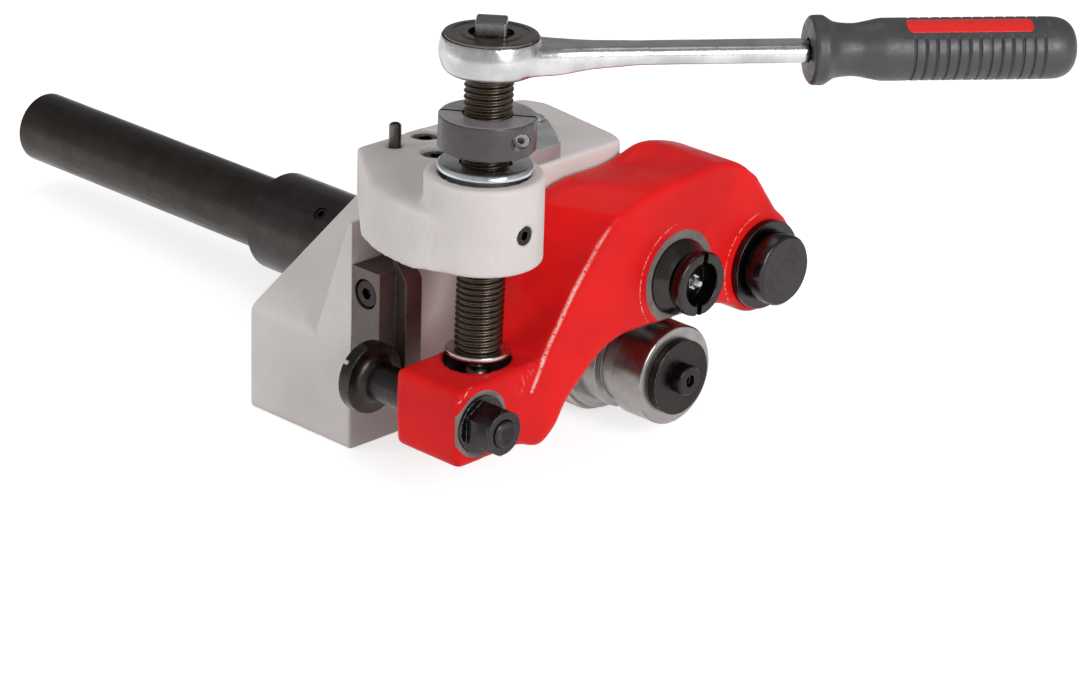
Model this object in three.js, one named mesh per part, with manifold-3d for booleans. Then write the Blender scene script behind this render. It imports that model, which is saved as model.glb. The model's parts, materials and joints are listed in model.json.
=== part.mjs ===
// Pipe roll groover: a cast housing carries a driven roll, and a screw-fed arm presses a groove roll down on it.
// Millimetres, +Z up. X runs along the arm, +Y points to the drive bar, and the arm's front faces -Y.
// Pieces are placed from the centre of the feed boss's top face, and the finished group is then moved so that
// the origin lies in the middle of the housing's underside.
import * as THREE from "three";
import { mergeVertices } from "three/addons/utils/BufferGeometryUtils.js";
import Module from "manifold-3d";

const wasm = await Module();
wasm.setup();

// Clearances and facets
const GAP = 0.3;
const PLAY = 0.4;
const OVER = 2;
const WELD = 1e-4;
const LARGE = 24;
const ROUND = 16;
const SMALL = 8;
const HEX = 6;
const CORNER_STEPS = 3;
const CORNER_SHARE = 0.45;
const LEAST_TURN = 0.01;

// Housing casting, measured from the feed screw's line
const HOUSING = { left: 12.2, length: 184.4, front: 64, depth: 64, base: 140, deck: 88, edge: 3, corner: 10 };
const SLOPE = { topX: 57.5, foot: 47.2 };
const UPPER = { left: 11, right: 105, depth: 20.4 };
const GUSSET = { width: 24.2, depth: 21.5, topDepth: 2, foot: 49 };
const COLUMN = { left: 6.4, right: 38, proud: 16, bottom: 24, edge: 3 };
const FRONT_BLOCK = { left: 52, front: 23.5, pivotRadius: 24, pivotFront: 17.1, hubRadius: 28 };

// Bracket casting with the feed boss
const BOSS = { radius: 24.5, height: 37, bore: 18.5, edge: 1 };
const BRACKET = { thickness: 23, front: 17, rear: 84.3, left: 9, right: 105.7, flank: 4.5, edge: 1.6 };
const BRACKET_CORNER = BRACKET.edge * 6;
const BRACKET_EDGE_SHARES = {
  left: [
    [1.0, 0.0, 0.02],
    [0.59, -0.25, 0.3],
    [0.41, -0.33, 0.2],
    [0.1, -0.373, 0.1],
  ],
  right: [
    [0.87, 1.045],
    [0.29, 0.976],
  ],
  frontRight: 0.936,
};
const CAPSCREW = { head: 6.4, headHeight: 7, shank: 4, length: 38, socket: 3.2, recess: 7.2, recessDepth: 9 };
const CAPSCREW_PLACE_SHARES = [
  [0.39, 0.911],
  [0.281, 0.684],
  [0.624, 0.854],
];
const ROLLPIN = { xShare: 0.207, yShare: 0.887, radius: 2.6, bore: 1.5, slit: 0.9, proud: 9.8 };
const ROLLPIN_END = { depth: 12, edge: 0.6 };

// Depth gauge, a stepped zinc bar lying on the bracket
const GAUGE = { left: 45, right: 63, front: 18.4, blockDepth: 8, blockHeight: 6.5 };
const GAUGE_STEP = { left: 55, height: 5 };
const GAUGE_BAR = { height: 3.6, width: 12, endX: 87, endY: 56, turnX: 74, turnY: 37, screwInset: 5 };
const GAUGE_SCREW = { radius: 2, head: 3.4, headTop: 2.04, headHeight: 2, length: 12, slot: 0.8, slotDepth: 1 };

// Rocking nut, feed screw and what they carry, along the tilted feed line from the trunnion
const TRUNNION = { drop: 21, radius: 4, hole: 4.3, point: 3, pointLength: 5.5, depth: 5.6, socket: 2.1 };
const FEED_TILT_DEGREES = 1.35;
const NUT = { radius: 16.5, foot: 12, flangeRadius: 19.6, flangeLift: 1.6, flange: 3, edge: 1.2, bore: 10.3 };
const COLLAR = { radius: 20, bore: 10.3, height: 14.2, gap: 5.6, slit: 1, edge: 0.8, slitDegrees: -52.8 };
const COLLAR_SCREW = { offset: 14.9, radius: 2, head: 3.3, headDepth: 7.5, length: 20, socket: 1.6, inset: 1.2 };
const FEED = { radius: 10, top: 16.4, length: 116, edge: 1, neck: 6, ball: 6.5, ballDrop: 12.8, socketDepth: 9 };
const THRUST = { radius: 13.4, thickness: 2.5, edge: 0.5 };
const SEAT = { radius: 9.2, bottom: 15.7, cupPlay: 0.55 };
const LUG = { offsetX: -3, offsetY: -1, recess: 14, recessDepth: 9.5, bore: 9.6 };

// Red arm, measured from its pivot; outline rows are x, z and corner rounding as shares of the reach
const ARM = { reach: 148.5, drop: 71, rear: 15.5, thickness: 36.9, rim: 7.5, hub: 22.5, edge: 1.5 };
const ARM_OUTLINE_SHARES = [
  [-1.22, -0.294, 0.02],
  [-0.975, -0.29, 0.02],
  [-0.892, -0.324, 0.035],
  [-0.828, -0.271, 0.02],
  [-0.795, -0.209, 0.04],
  [-0.659, -0.097, 0.05],
  [-0.577, -0.071, 0.05],
  [-0.172, -0.08, 0.05],
  [-0.068, -0.129, 0],
  [0, 0, 0],
  [0.113, 0.1, 0],
  [0.019, 0.236, 0.08],
  [-0.05, 0.297, 0.06],
  [-0.133, 0.343, 0.06],
  [-0.228, 0.37, 0.06],
  [-0.302, 0.378, 0.05],
  [-0.409, 0.341, 0.05],
  [-0.599, 0.342, 0.05],
  [-0.744, 0.296, 0.06],
  [-0.798, 0.195, 0.05],
  [-0.818, 0.101, 0.05],
  [-0.852, 0.02, 0.04],
  [-0.919, -0.054, 0.03],
  [-1.224, -0.068, 0.015],
];
const CREASE_SHARES = [
  [-0.895, -0.057],
  [-0.867, -0.005],
  [-0.782, 0.12],
  [-0.688, 0.228],
  [-0.609, 0.292],
  [-0.488, 0.33],
  [-0.36, 0.343],
  [-0.212, 0.354],
  [-0.102, 0.331],
  [-0.032, 0.273],
  [0.065, 0.141],
  [0.113, 0.1],
];
const RIM_SHARES = [
  [-0.919, -0.05],
  [-0.885, -0.023],
  [-0.828, 0.088],
  [-0.79, 0.222],
  [-0.722, 0.304],
  [-0.599, 0.345],
  [-0.407, 0.343],
  [-0.246, 0.374],
  [-0.133, 0.347],
  [-0.05, 0.3],
  [0.032, 0.222],
  [0.113, 0.1],
];
const RELIEF_FAR_SHARES = { right: 0.3, top: 0.6, left: -1.2 };

// Groove roll and spindle
const ROLL = { fromPivot: 52.5, rise: 7.3, radius: 19, ridge: 3, ridgeWidth: 8, ridgeTip: 5.4, ridgeY: 2.7 };
const FORK = { radius: 24, front: -9.4, rear: 8 };
const BUSH = { wall: 2.4 };
const SPINDLE = { radius: 9, head: 16.5, waist: 12.5, waistY: 6, recess: 9.4 };
const SPINDLE_RING = { radius: 14.1, y: 9.4, width: 4.2 };
const SPINDLE_END = { recessDepth: 8, slot: 3.2, slotDepth: 2.6, proud: 3 };
const CLIP = { groove: 0.9, grooveY: 0.3, width: 1.3 };
const SPOT = { radius: 20.3, depth: 0.8, nutRadius: 13 };
const NIPPLE = { base: 3, hexLength: 3, neck: 1.7, stem: 1.36, tip: 1.2, head: 2.4, length: 6.4 };

// Pivot
const PIVOT = { radius: 12, bushWall: 2.6, washer: 22, washerWidth: 1 };
const CAP = { ring: 19.6, ringWidth: 2.9, neck: 13.4, neckWidth: 1.6, disc: 15.6, length: 13.6, edge: 1.4 };
const PIVOT_NUT = { flats: 32, thickness: 10, proud: 2 };

// Guide bolt and guide block
const GUIDE = { out: 20, drop: 97.5, shaft: 5.8, shoulder: 8, disc: 15.7, discWidth: 6, discRear: 47 };
const GUIDE_NUT = { flats: 18.4, thickness: 12.6, washer: 12.2, washerWidth: 1.2, proud: 1.4 };
const GUIDE_NUT_CROWN = { face: 9.13, depth: 2.27 };
const NOTCH = { width: 4, depth: 3 };
const BLOCK = { left: -12, right: 6.1, front: 47.4, top: 55.5, bottom: 112, taper: 2.5 };
const RIB = { width: 8.9, proud: 6.4, chamfer: 8 };
const BLOCK_SCREW = { head: 6.3, headDepth: 6.5, sink: 0.8, shank: 3, length: 26, socket: 2.8 };
const BLOCK_SCREW_ROW = { spacing: 30, drop: 10.9 };

// Drive line
const DRIVE = { fromPivot: 49.6, drop: 39.3, nose: 12, journal: 15, stub: 17, noseFront: -19.8 };
const DRIVE_ROLL = { radius: 22, front: -19, groove: 3, grooveWidth: 10, flange: 26, flangeWidth: 3.5, edge: 1 };
const DRIVE_KEY = { width: 5, height: 5, front: -14, rear: 14 };
const ROLL_WASHER = { radius: 16.5, thickness: 3 };
const ROLL_SCREW = { head: 6.6, headHeight: 5, shank: 4, length: 22, socket: 3 };
const BEARING = { radius: 23.5, bore: 15.3, frontWidth: 16, rearWidth: 16, pocketPlay: 0.3, tunnel: 19 };
const BEARING_RACE = { inner: 2.6, outer: 2.6, recess: 1 };
const SEAL = { width: 2.1 };
const COVER = { radius: 34, width: 6, screwCircle: 29, screws: 4 };
const COVER_SCREW = { radius: 2.3, head: 4, headHeight: 3, length: 16, socket: 1.8 };
const COUPLING = { radius: 23.2, front: 137, length: 92.7, edge: 1.2 };
const COUPLING_SCREW = { radius: 3.4, length: 5.6, socket: 1.9, turnDegrees: 127, yShares: [0.25, 0.56] };
const BAR = { radius: 17, start: 180.3, length: 225.7, edge: 2 };

// Ratchet on the feed screw's socket
const HEAD = { radius: 21, height: 15.5, lift: 0.7, foot: 17, mouth: 19, bulgeShare: 0.45 };
const HEAD_INSIDE = { floor: 3.6, cavity: 14.6 };
const RATCHET = { turnDegrees: -35.2, square: 12.7, stub: 6.6, gear: 13.9, gearGap: 0.4, teeth: 28, tooth: 1 };
const RATCHET_COVER = { radius: 19, thickness: 1.8, sink: 0.8, ringDepth: 0.35 };
const COVER_RINGS = { rim: 17.9, step: 16, hub: 12.2 };
const PAWL = { length: 4, width: 7, pocketDepth: 5.4 };
const SHANK_SECTIONS = {
  along: [13, 26, 40, 60, 129],
  half: [14.2, 10, 7.9, 7.3, 7.5],
  top: [4.6, 4.2, 3.8, 3.6, 3.8],
  bottom: [6.6, 7.4, 5.6, 4.2, 4],
  corner: 1.6,
};
const TANG = { radius: 5, length: 88 };
const GRIP = { start: 129.6, length: 111.4, flange: 14.15, flangeWidth: 7, waist: 10.75, bulge: 12.75 };
const GRIP_END = { radius: 12.4, shares: [1, 0.93, 0.75, 0.4], startShare: 0.03 };
const GRIP_SHARES = { waist: 0.17, bulge: 0.26, ribStart: 0.37, ribEnd: 0.86, round: 0.965 };
const GRIP_RIBS = { count: 12, depth: 0.9, ribHalfShare: 0.2 };
const INSET = { start: 38, length: 52, width: 12.6, thickness: 1.5, floor: 9.9, corner: 4 };

// Heights and lines that follow from the sizes above
const HOUSING_RIGHT = HOUSING.length - HOUSING.left;
const HOUSING_REAR = HOUSING.front + HOUSING.depth;
const DECK_Z = HOUSING.deck - HOUSING.base;
const BOSS_BOTTOM = -BOSS.height;
const BRACKET_TOP = BOSS_BOTTOM + BRACKET.thickness;
const HOUSING_TOP = BOSS_BOTTOM - GAP;
const ARM_FRONT = ARM.rear - ARM.thickness;
const PIVOT_LINE = { x: ARM.reach, z: -ARM.drop };
const ROLL_LINE = { x: PIVOT_LINE.x - ROLL.fromPivot, z: PIVOT_LINE.z + ROLL.rise };
const DRIVE_LINE = { x: PIVOT_LINE.x - DRIVE.fromPivot, z: PIVOT_LINE.z - DRIVE.drop };
const GUIDE_LINE = { x: -GUIDE.out, z: -GUIDE.drop };
const BLOCK_SCREW_TOP = -BLOCK.top - BLOCK_SCREW_ROW.drop;
const BLOCK_SCREW_Z = [BLOCK_SCREW_TOP, BLOCK_SCREW_TOP - BLOCK_SCREW_ROW.spacing];
const BLOCK_SCREW_Y = (BLOCK.front + HOUSING.front) / 2;
const FLANGE_W = TRUNNION.drop + NUT.flangeLift;
const NUT_TOP_W = FLANGE_W + NUT.flange;
const COLLAR_W = NUT_TOP_W + COLLAR.gap;
const FEED_TOP_W = COLLAR_W + COLLAR.height + FEED.top;
const FEED_BOTTOM_W = FEED_TOP_W - FEED.length;
const BALL_W = FEED_BOTTOM_W - FEED.ballDrop;
const BALL_Z = BALL_W - TRUNNION.drop;
const HEAD_W = FEED_TOP_W + HEAD.lift;
const HEAD_TOP_W = HEAD_W + HEAD.height;
const SPOT_Y = ARM_FRONT + SPOT.depth;
const FRONT_POCKET_Y = FRONT_BLOCK.front + SEAL.width + GAP;
const COLUMN_FRONT = HOUSING.front - COLUMN.proud;

// Finishes, as colour, roughness and metalness
const LOOKS = {
  grey: [0xa89f9c, 0.62, 0.1],
  red: [0xdc1c1c, 0.42, 0.05],
  black: [0x2b2624, 0.42, 0.6],
  dark: [0x46372c, 0.45, 0.6],
  steel: [0x77716d, 0.35, 0.9],
  zinc: [0xb9bec2, 0.3, 0.9],
  chrome: [0xd8dadc, 0.1, 1],
  bronze: [0xa8803f, 0.4, 0.9],
  rubber: [0x2a2a2c, 0.8, 0],
  inset: [0xc62020, 0.35, 0.1],
};

// A closed surface as a solid that can be joined and cut
function solid(geometry) {
  const bare = new THREE.BufferGeometry().setAttribute("position", geometry.getAttribute("position"));
  if (geometry.index) bare.setIndex(geometry.index);
  const merged = mergeVertices(bare, WELD);
  const index = merged.index.array;
  const faces = [];
  for (let i = 0; i < index.length; i += 3) {
    const [a, b, c] = [index[i], index[i + 1], index[i + 2]];
    if (a !== b && b !== c && c !== a) faces.push(a, b, c);
  }
  const vertProperties = merged.attributes.position.array;
  const build = (list) =>
    new wasm.Manifold(new wasm.Mesh({ numProp: 3, vertProperties, triVerts: new Uint32Array(list) }));
  const made = build(faces);
  return made.volume() > 0 ? made : build(faces.reverse());
}
const asSolid = (shape) => (shape.isBufferGeometry ? solid(shape) : shape);
const join = (...shapes) => shapes.map(asSolid).reduce((all, next) => all.add(next));
const cut = (body, ...tools) => tools.map(asSolid).reduce((left, tool) => left.subtract(tool), asSolid(body));

// Directions in which an outline can be extruded: the two axes it is drawn on, then the depth
const ALONG = {
  x: new THREE.Matrix4().makeBasis(
    new THREE.Vector3(0, 1, 0),
    new THREE.Vector3(0, 0, 1),
    new THREE.Vector3(1, 0, 0),
  ),
  y: new THREE.Matrix4().makeBasis(
    new THREE.Vector3(1, 0, 0),
    new THREE.Vector3(0, 0, 1),
    new THREE.Vector3(0, -1, 0),
  ),
  z: new THREE.Matrix4(),
};

// An outline with rounded corners: each row holds two coordinates and a corner size
function rounded(rows) {
  const points = rows.map(([a, b]) => new THREE.Vector2(a, b));
  return points.flatMap((at, i) => {
    const size = rows[i][2] ?? 0;
    if (!size) return [at];
    const before = points.at(i - 1);
    const after = points[(i + 1) % points.length];
    const reach = (end) => Math.min(size, at.distanceTo(end) * CORNER_SHARE);
    const start = before.clone().sub(at).setLength(reach(before)).add(at);
    const end = after.clone().sub(at).setLength(reach(after)).add(at);
    return new THREE.QuadraticBezierCurve(start, at, end).getPoints(CORNER_STEPS);
  });
}

// The points at which an outline really turns
const turning = (outline) =>
  outline.filter((at, i) => {
    const into = at.clone().sub(outline.at(i - 1)).normalize();
    const out = outline[(i + 1) % outline.length].clone().sub(at).normalize();
    return Math.abs(into.cross(out)) > LEAST_TURN;
  });

// An outline extruded along an axis between two places, with an optional bevel on both faces
function extrude(axis, outline, from, to, bevel = 0) {
  const settings = { depth: to - from - bevel * 2, bevelEnabled: bevel > 0, steps: 1, curveSegments: SMALL };
  const chamfer = { bevelThickness: bevel, bevelSize: bevel, bevelOffset: -bevel, bevelSegments: 1 };
  if (bevel) Object.assign(settings, chamfer);
  const geometry = new THREE.ExtrudeGeometry(new THREE.Shape(turning(outline)), settings);
  geometry.translate(0, 0, bevel).applyMatrix4(ALONG[axis]);
  const place = { x: [from, 0, 0], y: [0, to, 0], z: [0, 0, from] };
  return geometry.translate(...place[axis]);
}
const points = (rows) => rows.map(([a, b]) => new THREE.Vector2(a, b));
const box = (x0, x1, y0, y1, z0, z1) =>
  new THREE.BoxGeometry(x1 - x0, y1 - y0, z1 - z0).translate((x0 + x1) / 2, (y0 + y1) / 2, (z0 + z1) / 2);

// A solid between two outlines with the same number of points, along Z
function loft(lower, lowerAt, upper, upperAt) {
  const turned = THREE.ShapeUtils.isClockWise(lower);
  const rings = [lower, upper].map((ring) => (turned ? [...ring].reverse() : ring));
  const count = lower.length;
  const vertices = rings.flatMap((ring, k) => ring.flatMap((p) => [p.x, p.y, k ? upperAt : lowerAt]));
  const faces = [];
  for (const [a, b, c] of THREE.ShapeUtils.triangulateShape(rings[0], [])) faces.push(c, b, a);
  for (const [a, b, c] of THREE.ShapeUtils.triangulateShape(rings[1], []))
    faces.push(a + count, b + count, c + count);
  for (let i = 0; i < count; i++) {
    const j = (i + 1) % count;
    faces.push(i, j, j + count, i, j + count, i + count);
  }
  return new THREE.BufferGeometry()
    .setAttribute("position", new THREE.Float32BufferAttribute(vertices, 3))
    .setIndex(faces);
}

// A solid through a row of equal closed sections, each a list of 3-D points
function skin(sections) {
  const count = sections[0].length;
  const vertices = sections.flat(2);
  const faces = [];
  const last = (sections.length - 1) * count;
  for (let i = 1; i < count - 1; i++) faces.push(0, i + 1, i, last, last + i, last + i + 1);
  for (let s = 0; s < sections.length - 1; s++) {
    for (let i = 0; i < count; i++) {
      const [a, b] = [s * count + i, s * count + ((i + 1) % count)];
      faces.push(a, b, b + count, a, b + count, a + count);
    }
  }
  return new THREE.BufferGeometry()
    .setAttribute("position", new THREE.Float32BufferAttribute(vertices, 3))
    .setIndex(faces);
}

// Turned pieces: rows of radius and place along the axis, closed on the axis or on themselves
function profile(rows) {
  const closed = rows[0][0] > 0 ? [...rows, rows[0]] : rows;
  return points(closed);
}
const alongY = (rows, line = { x: 0, z: 0 }, sides = ROUND) =>
  new THREE.LatheGeometry(profile(rows), sides).translate(line.x, 0, line.z);
const alongZ = (rows, x = 0, y = 0, sides = ROUND) =>
  new THREE.LatheGeometry(profile(rows), sides).rotateX(Math.PI / 2).translate(x, y, 0);
const alongX = (rows, y = 0, z = 0, sides = ROUND) =>
  new THREE.LatheGeometry(profile(rows), sides).rotateZ(-Math.PI / 2).translate(0, y, z);
const rod = (radius, from, to) => [
  [0, from],
  [radius, from],
  [radius, to],
  [0, to],
];
const tube = (inner, outer, from, to) => [
  [inner, from],
  [outer, from],
  [outer, to],
  [inner, to],
];
const chamfered = (radius, from, to, edge) => [
  [0, from],
  [radius - edge, from],
  [radius, from + edge],
  [radius, to - edge],
  [radius - edge, to],
  [0, to],
];
const hexRows = (flats) => flats / Math.sqrt(3);

// The band between two circles, bounded by their outer tangents
function web(a, radiusA, b, radiusB) {
  const along = new THREE.Vector2(b.x - a.x, b.z - a.z);
  const lean = Math.acos((radiusA - radiusB) / along.length());
  const edge = (centre, radius, side) => {
    const angle = along.angle() + side * lean;
    return new THREE.Vector2(centre.x + radius * Math.cos(angle), centre.z + radius * Math.sin(angle));
  };
  return [edge(a, radiusA, 1), edge(b, radiusB, 1), edge(b, radiusB, -1), edge(a, radiusA, -1)];
}

// The finished mesh of a piece, in its own finish
function piece(name, shape, look) {
  const { vertProperties, triVerts, numProp } = asSolid(shape).getMesh();
  const all = new Float32Array((vertProperties.length / numProp) * 3);
  for (let i = 0; i < all.length / 3; i++) all.set(vertProperties.subarray(i * numProp, i * numProp + 3), i * 3);
  const geometry = new THREE.BufferGeometry()
    .setAttribute("position", new THREE.BufferAttribute(all, 3))
    .setIndex(new THREE.BufferAttribute(new Uint32Array(triVerts), 1));
  geometry.computeVertexNormals();
  const [color, roughness, metalness] = LOOKS[look];
  const finish = new THREE.MeshStandardMaterial({ color, roughness, metalness, flatShading: true });
  const mesh = new THREE.Mesh(geometry, finish);
  mesh.name = name;
  return mesh;
}

// Places of the bracket's screws and pin, as shares of its reach from the feed line
const capScrewPlaces = CAPSCREW_PLACE_SHARES.map(([x, y]) => [x * BRACKET.right, y * BRACKET.rear]);
const rollPinPlace = [ROLLPIN.xShare * BRACKET.right, ROLLPIN.yShare * BRACKET.rear];
const gaugeScrewPlace = [GAUGE_BAR.endX - GAUGE_BAR.screwInset, GAUGE_BAR.endY - GAUGE_BAR.screwInset];
const capScrewTop = BRACKET_TOP - CAPSCREW.recessDepth + CAPSCREW.headHeight;

// Housing casting
function housing() {
  const base = extrude(
    "y",
    rounded([
      [-HOUSING.left, -HOUSING.base, HOUSING.edge],
      [HOUSING_RIGHT, -HOUSING.base, HOUSING.edge],
      [HOUSING_RIGHT, DECK_Z, HOUSING.corner],
      [SLOPE.topX, DECK_Z, HOUSING.corner],
      [-HOUSING.left, -HOUSING.base + SLOPE.foot, HOUSING.edge],
    ]),
    HOUSING.front,
    HOUSING_REAR,
    HOUSING.edge / 2,
  );
  const upperRear = HOUSING.front + UPPER.depth;
  const upper = box(UPPER.left, UPPER.right, HOUSING.front, upperRear, DECK_Z - HOUSING.deck / 2, HOUSING_TOP);
  const footZ = -HOUSING.base + GUSSET.foot;
  const gusset = extrude(
    "x",
    points([
      [HOUSING.front, footZ - GUSSET.depth],
      [HOUSING.front + GUSSET.depth, footZ - GUSSET.depth],
      [HOUSING.front + GUSSET.depth, footZ],
      [HOUSING.front + GUSSET.topDepth, HOUSING_TOP],
      [HOUSING.front, HOUSING_TOP],
    ]),
    -HOUSING.left,
    GUSSET.width - HOUSING.left,
  );
  const column = extrude(
    "z",
    rounded([
      [COLUMN.left, COLUMN_FRONT, 0],
      [COLUMN.right, COLUMN_FRONT, COLUMN.edge],
      [COLUMN.right, HOUSING.front + OVER, 0],
      [COLUMN.left, HOUSING.front + OVER, 0],
    ]),
    -HOUSING.base + COLUMN.bottom,
    HOUSING_TOP,
  );
  return join(base, upper, gusset, column, ...frontBlock());
}

// The block that reaches forward to the drive hub and the arm's pivot
function frontBlock() {
  const rear = HOUSING.front + OVER;
  const { front, left, hubRadius, pivotRadius, pivotFront } = FRONT_BLOCK;
  return [
    alongY(rod(hubRadius, front, rear), DRIVE_LINE, LARGE),
    alongY(rod(pivotRadius, pivotFront, rear), PIVOT_LINE, LARGE),
    extrude("y", web(DRIVE_LINE, hubRadius, PIVOT_LINE, pivotRadius), front, rear),
    box(left, UPPER.right, front, rear, DRIVE_LINE.z, HOUSING_TOP),
  ];
}

// Bores and threaded holes in the housing
function housingBores() {
  const pocket = BEARING.radius + BEARING.pocketPlay;
  const frontEnd = FRONT_POCKET_Y + BEARING.frontWidth + GAP;
  const rearStart = HOUSING_REAR - BEARING.rearWidth - GAP;
  const { front } = FRONT_BLOCK;
  const holes = [
    alongY(rod(pocket, front - OVER, frontEnd), DRIVE_LINE, LARGE),
    alongY(rod(BEARING.tunnel, front, HOUSING_REAR), DRIVE_LINE),
    alongY(rod(pocket, rearStart, HOUSING_REAR + OVER), DRIVE_LINE, LARGE),
    alongY(rod(PIVOT.radius + GAP, FRONT_BLOCK.pivotFront - OVER, HOUSING_REAR + OVER), PIVOT_LINE),
  ];
  const coverHole = rod(COVER_SCREW.radius + GAP, HOUSING_REAR - COVER_SCREW.length, HOUSING_REAR + OVER);
  for (const [x, z] of coverScrewPlaces()) holes.push(alongY(coverHole, { x, z }, SMALL));
  const capHole = rod(CAPSCREW.shank + GAP, capScrewTop - CAPSCREW.headHeight - CAPSCREW.length - GAP, 0);
  for (const [x, y] of capScrewPlaces) holes.push(alongZ(capHole, x, y, SMALL));
  const sink = BLOCK.left + BLOCK_SCREW.sink + BLOCK_SCREW.headDepth + BLOCK_SCREW.length + GAP;
  for (const z of BLOCK_SCREW_Z)
    holes.push(alongX(rod(BLOCK_SCREW.shank + GAP, BLOCK.right, sink), BLOCK_SCREW_Y, z, SMALL));
  return holes;
}

// Bracket outline at one height; the flank leans out by the given amount
function bracketOutline(flank) {
  const { left, right, front, rear, edge } = BRACKET;
  const { right: rightRows, frontRight } = BRACKET_EDGE_SHARES;
  const flankRows = BRACKET_EDGE_SHARES.left.map(([y, x, corner], i) => [
    (i ? x * rear : left) - (i ? flank : 0),
    y * rear,
    corner * BRACKET_CORNER,
  ]);
  const neck = BOSS.radius - GAP;
  return rounded([
    [right, rear, edge * 2],
    ...rightRows.map(([y, x]) => [right * x, rear * y, edge * 2]),
    [right * frontRight, front, edge * 2],
    [neck + edge * 2, front, edge * 2],
    [neck, front - edge * 4, 0],
    [neck, 0, 0],
    [-neck, 0, 0],
    ...[...flankRows].reverse(),
  ]);
}

// Bracket casting: plate, neck and feed boss
function screwBracket() {
  const plate = loft(bracketOutline(0), BOSS_BOTTOM, bracketOutline(-BRACKET.flank), BRACKET_TOP);
  const boss = alongZ(
    [
      [0, BOSS_BOTTOM],
      [BOSS.radius - BOSS.edge, BOSS_BOTTOM],
      [BOSS.radius, BOSS_BOTTOM + BOSS.edge],
      [BOSS.radius, -BOSS.edge],
      [BOSS.radius - BOSS.edge, 0],
      [0, 0],
    ],
    0,
    0,
    LARGE,
  );
  const trunnionLine = { x: 0, z: -TRUNNION.drop };
  const high = BRACKET_TOP + OVER;
  const holes = [
    alongZ(rod(BOSS.bore, BOSS_BOTTOM - OVER, OVER), 0, 0, LARGE),
    alongY(rod(TRUNNION.hole, -BOSS.radius - OVER, BOSS.radius + TRUNNION.depth), trunnionLine, SMALL),
    alongZ(rod(ROLLPIN.radius + GAP, BRACKET_TOP - ROLLPIN_END.depth, high), ...rollPinPlace, SMALL),
    alongZ(rod(GAUGE_SCREW.radius + GAP, BRACKET_TOP - GAUGE_SCREW.length, high), ...gaugeScrewPlace, SMALL),
  ];
  for (const [x, y] of capScrewPlaces) {
    holes.push(alongZ(rod(CAPSCREW.recess, BRACKET_TOP - CAPSCREW.recessDepth, high), x, y));
    holes.push(alongZ(rod(CAPSCREW.shank + GAP, BOSS_BOTTOM - OVER, BRACKET_TOP), x, y, SMALL));
  }
  return cut(join(plate, boss), ...holes);
}

// Socket head screw standing on Z, with the top of its head at the origin's height
function socketScrew({ head, headHeight, shank, length, socket }) {
  const rows = [
    [0, -headHeight - length],
    [shank, -headHeight - length],
    [shank, -headHeight],
    [head, -headHeight],
    [head, -headHeight / HEX],
    [head - headHeight / HEX, 0],
    [0, 0],
  ];
  const drive = new THREE.CylinderGeometry(socket, socket, headHeight, HEX).rotateX(Math.PI / 2);
  return cut(alongZ(rows, 0, 0, SMALL), drive);
}

// Depth gauge: a stepped block and a flat bar to its screw
function depthGauge() {
  const foot = BRACKET_TOP + GAP;
  const rear = GAUGE.front + GAUGE.blockDepth;
  const block = box(GAUGE.left, GAUGE.right, GAUGE.front, rear, foot, foot + GAUGE.blockHeight);
  const step = box(GAUGE_STEP.left, GAUGE.right, GAUGE.front, GAUGE_BAR.turnY, foot, foot + GAUGE_STEP.height);
  const bar = extrude(
    "z",
    rounded([
      [GAUGE_STEP.left, GAUGE.front, 0],
      [GAUGE.right, GAUGE.front, 0],
      [GAUGE_BAR.turnX, GAUGE_BAR.turnY - GAUGE_BAR.width / 2, GAUGE_BAR.height],
      [GAUGE_BAR.endX, GAUGE_BAR.endY - GAUGE_BAR.width / 2, GAUGE_BAR.height],
      [GAUGE_BAR.endX - GAUGE_BAR.width / 2, GAUGE_BAR.endY, GAUGE_BAR.height],
      [GAUGE_STEP.left, GAUGE_BAR.turnY, GAUGE_BAR.height],
    ]),
    foot,
    foot + GAUGE_BAR.height,
  );
  const hole = rod(GAUGE_SCREW.radius + GAP, foot - OVER, foot + GAUGE_BAR.height + OVER);
  return cut(join(block, step, bar), alongZ(hole, ...gaugeScrewPlace, SMALL));
}
function gaugeScrew() {
  const top = BRACKET_TOP + GAP + GAUGE_BAR.height + GAP;
  const rows = [
    [0, top - GAUGE_SCREW.length],
    [GAUGE_SCREW.radius, top - GAUGE_SCREW.length],
    [GAUGE_SCREW.radius, top],
    [GAUGE_SCREW.head, top],
    [GAUGE_SCREW.head, top + GAUGE_SCREW.headHeight / 2],
    [GAUGE_SCREW.headTop, top + GAUGE_SCREW.headHeight],
    [0, top + GAUGE_SCREW.headHeight],
  ];
  const high = top + GAUGE_SCREW.headHeight;
  const { head, slot: width, slotDepth } = GAUGE_SCREW;
  const slot = box(-head, head, 0, width, high - slotDepth, high + OVER);
  return cut(alongZ(rows, 0, 0, SMALL), slot);
}

// Slotted spring pin standing in the bracket
function rollPin() {
  const bottom = BRACKET_TOP - ROLLPIN_END.depth + GAP;
  const top = BRACKET_TOP + ROLLPIN.proud;
  const body = alongZ(chamfered(ROLLPIN.radius, bottom, top, ROLLPIN_END.edge), 0, 0, SMALL);
  const bore = alongZ(rod(ROLLPIN.bore, bottom - OVER, top + OVER), 0, 0, SMALL);
  const slit = box(-ROLLPIN.slit / 2, ROLLPIN.slit / 2, -ROLLPIN.radius - OVER, 0, bottom - OVER, top + OVER);
  return cut(body, bore, slit);
}

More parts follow.
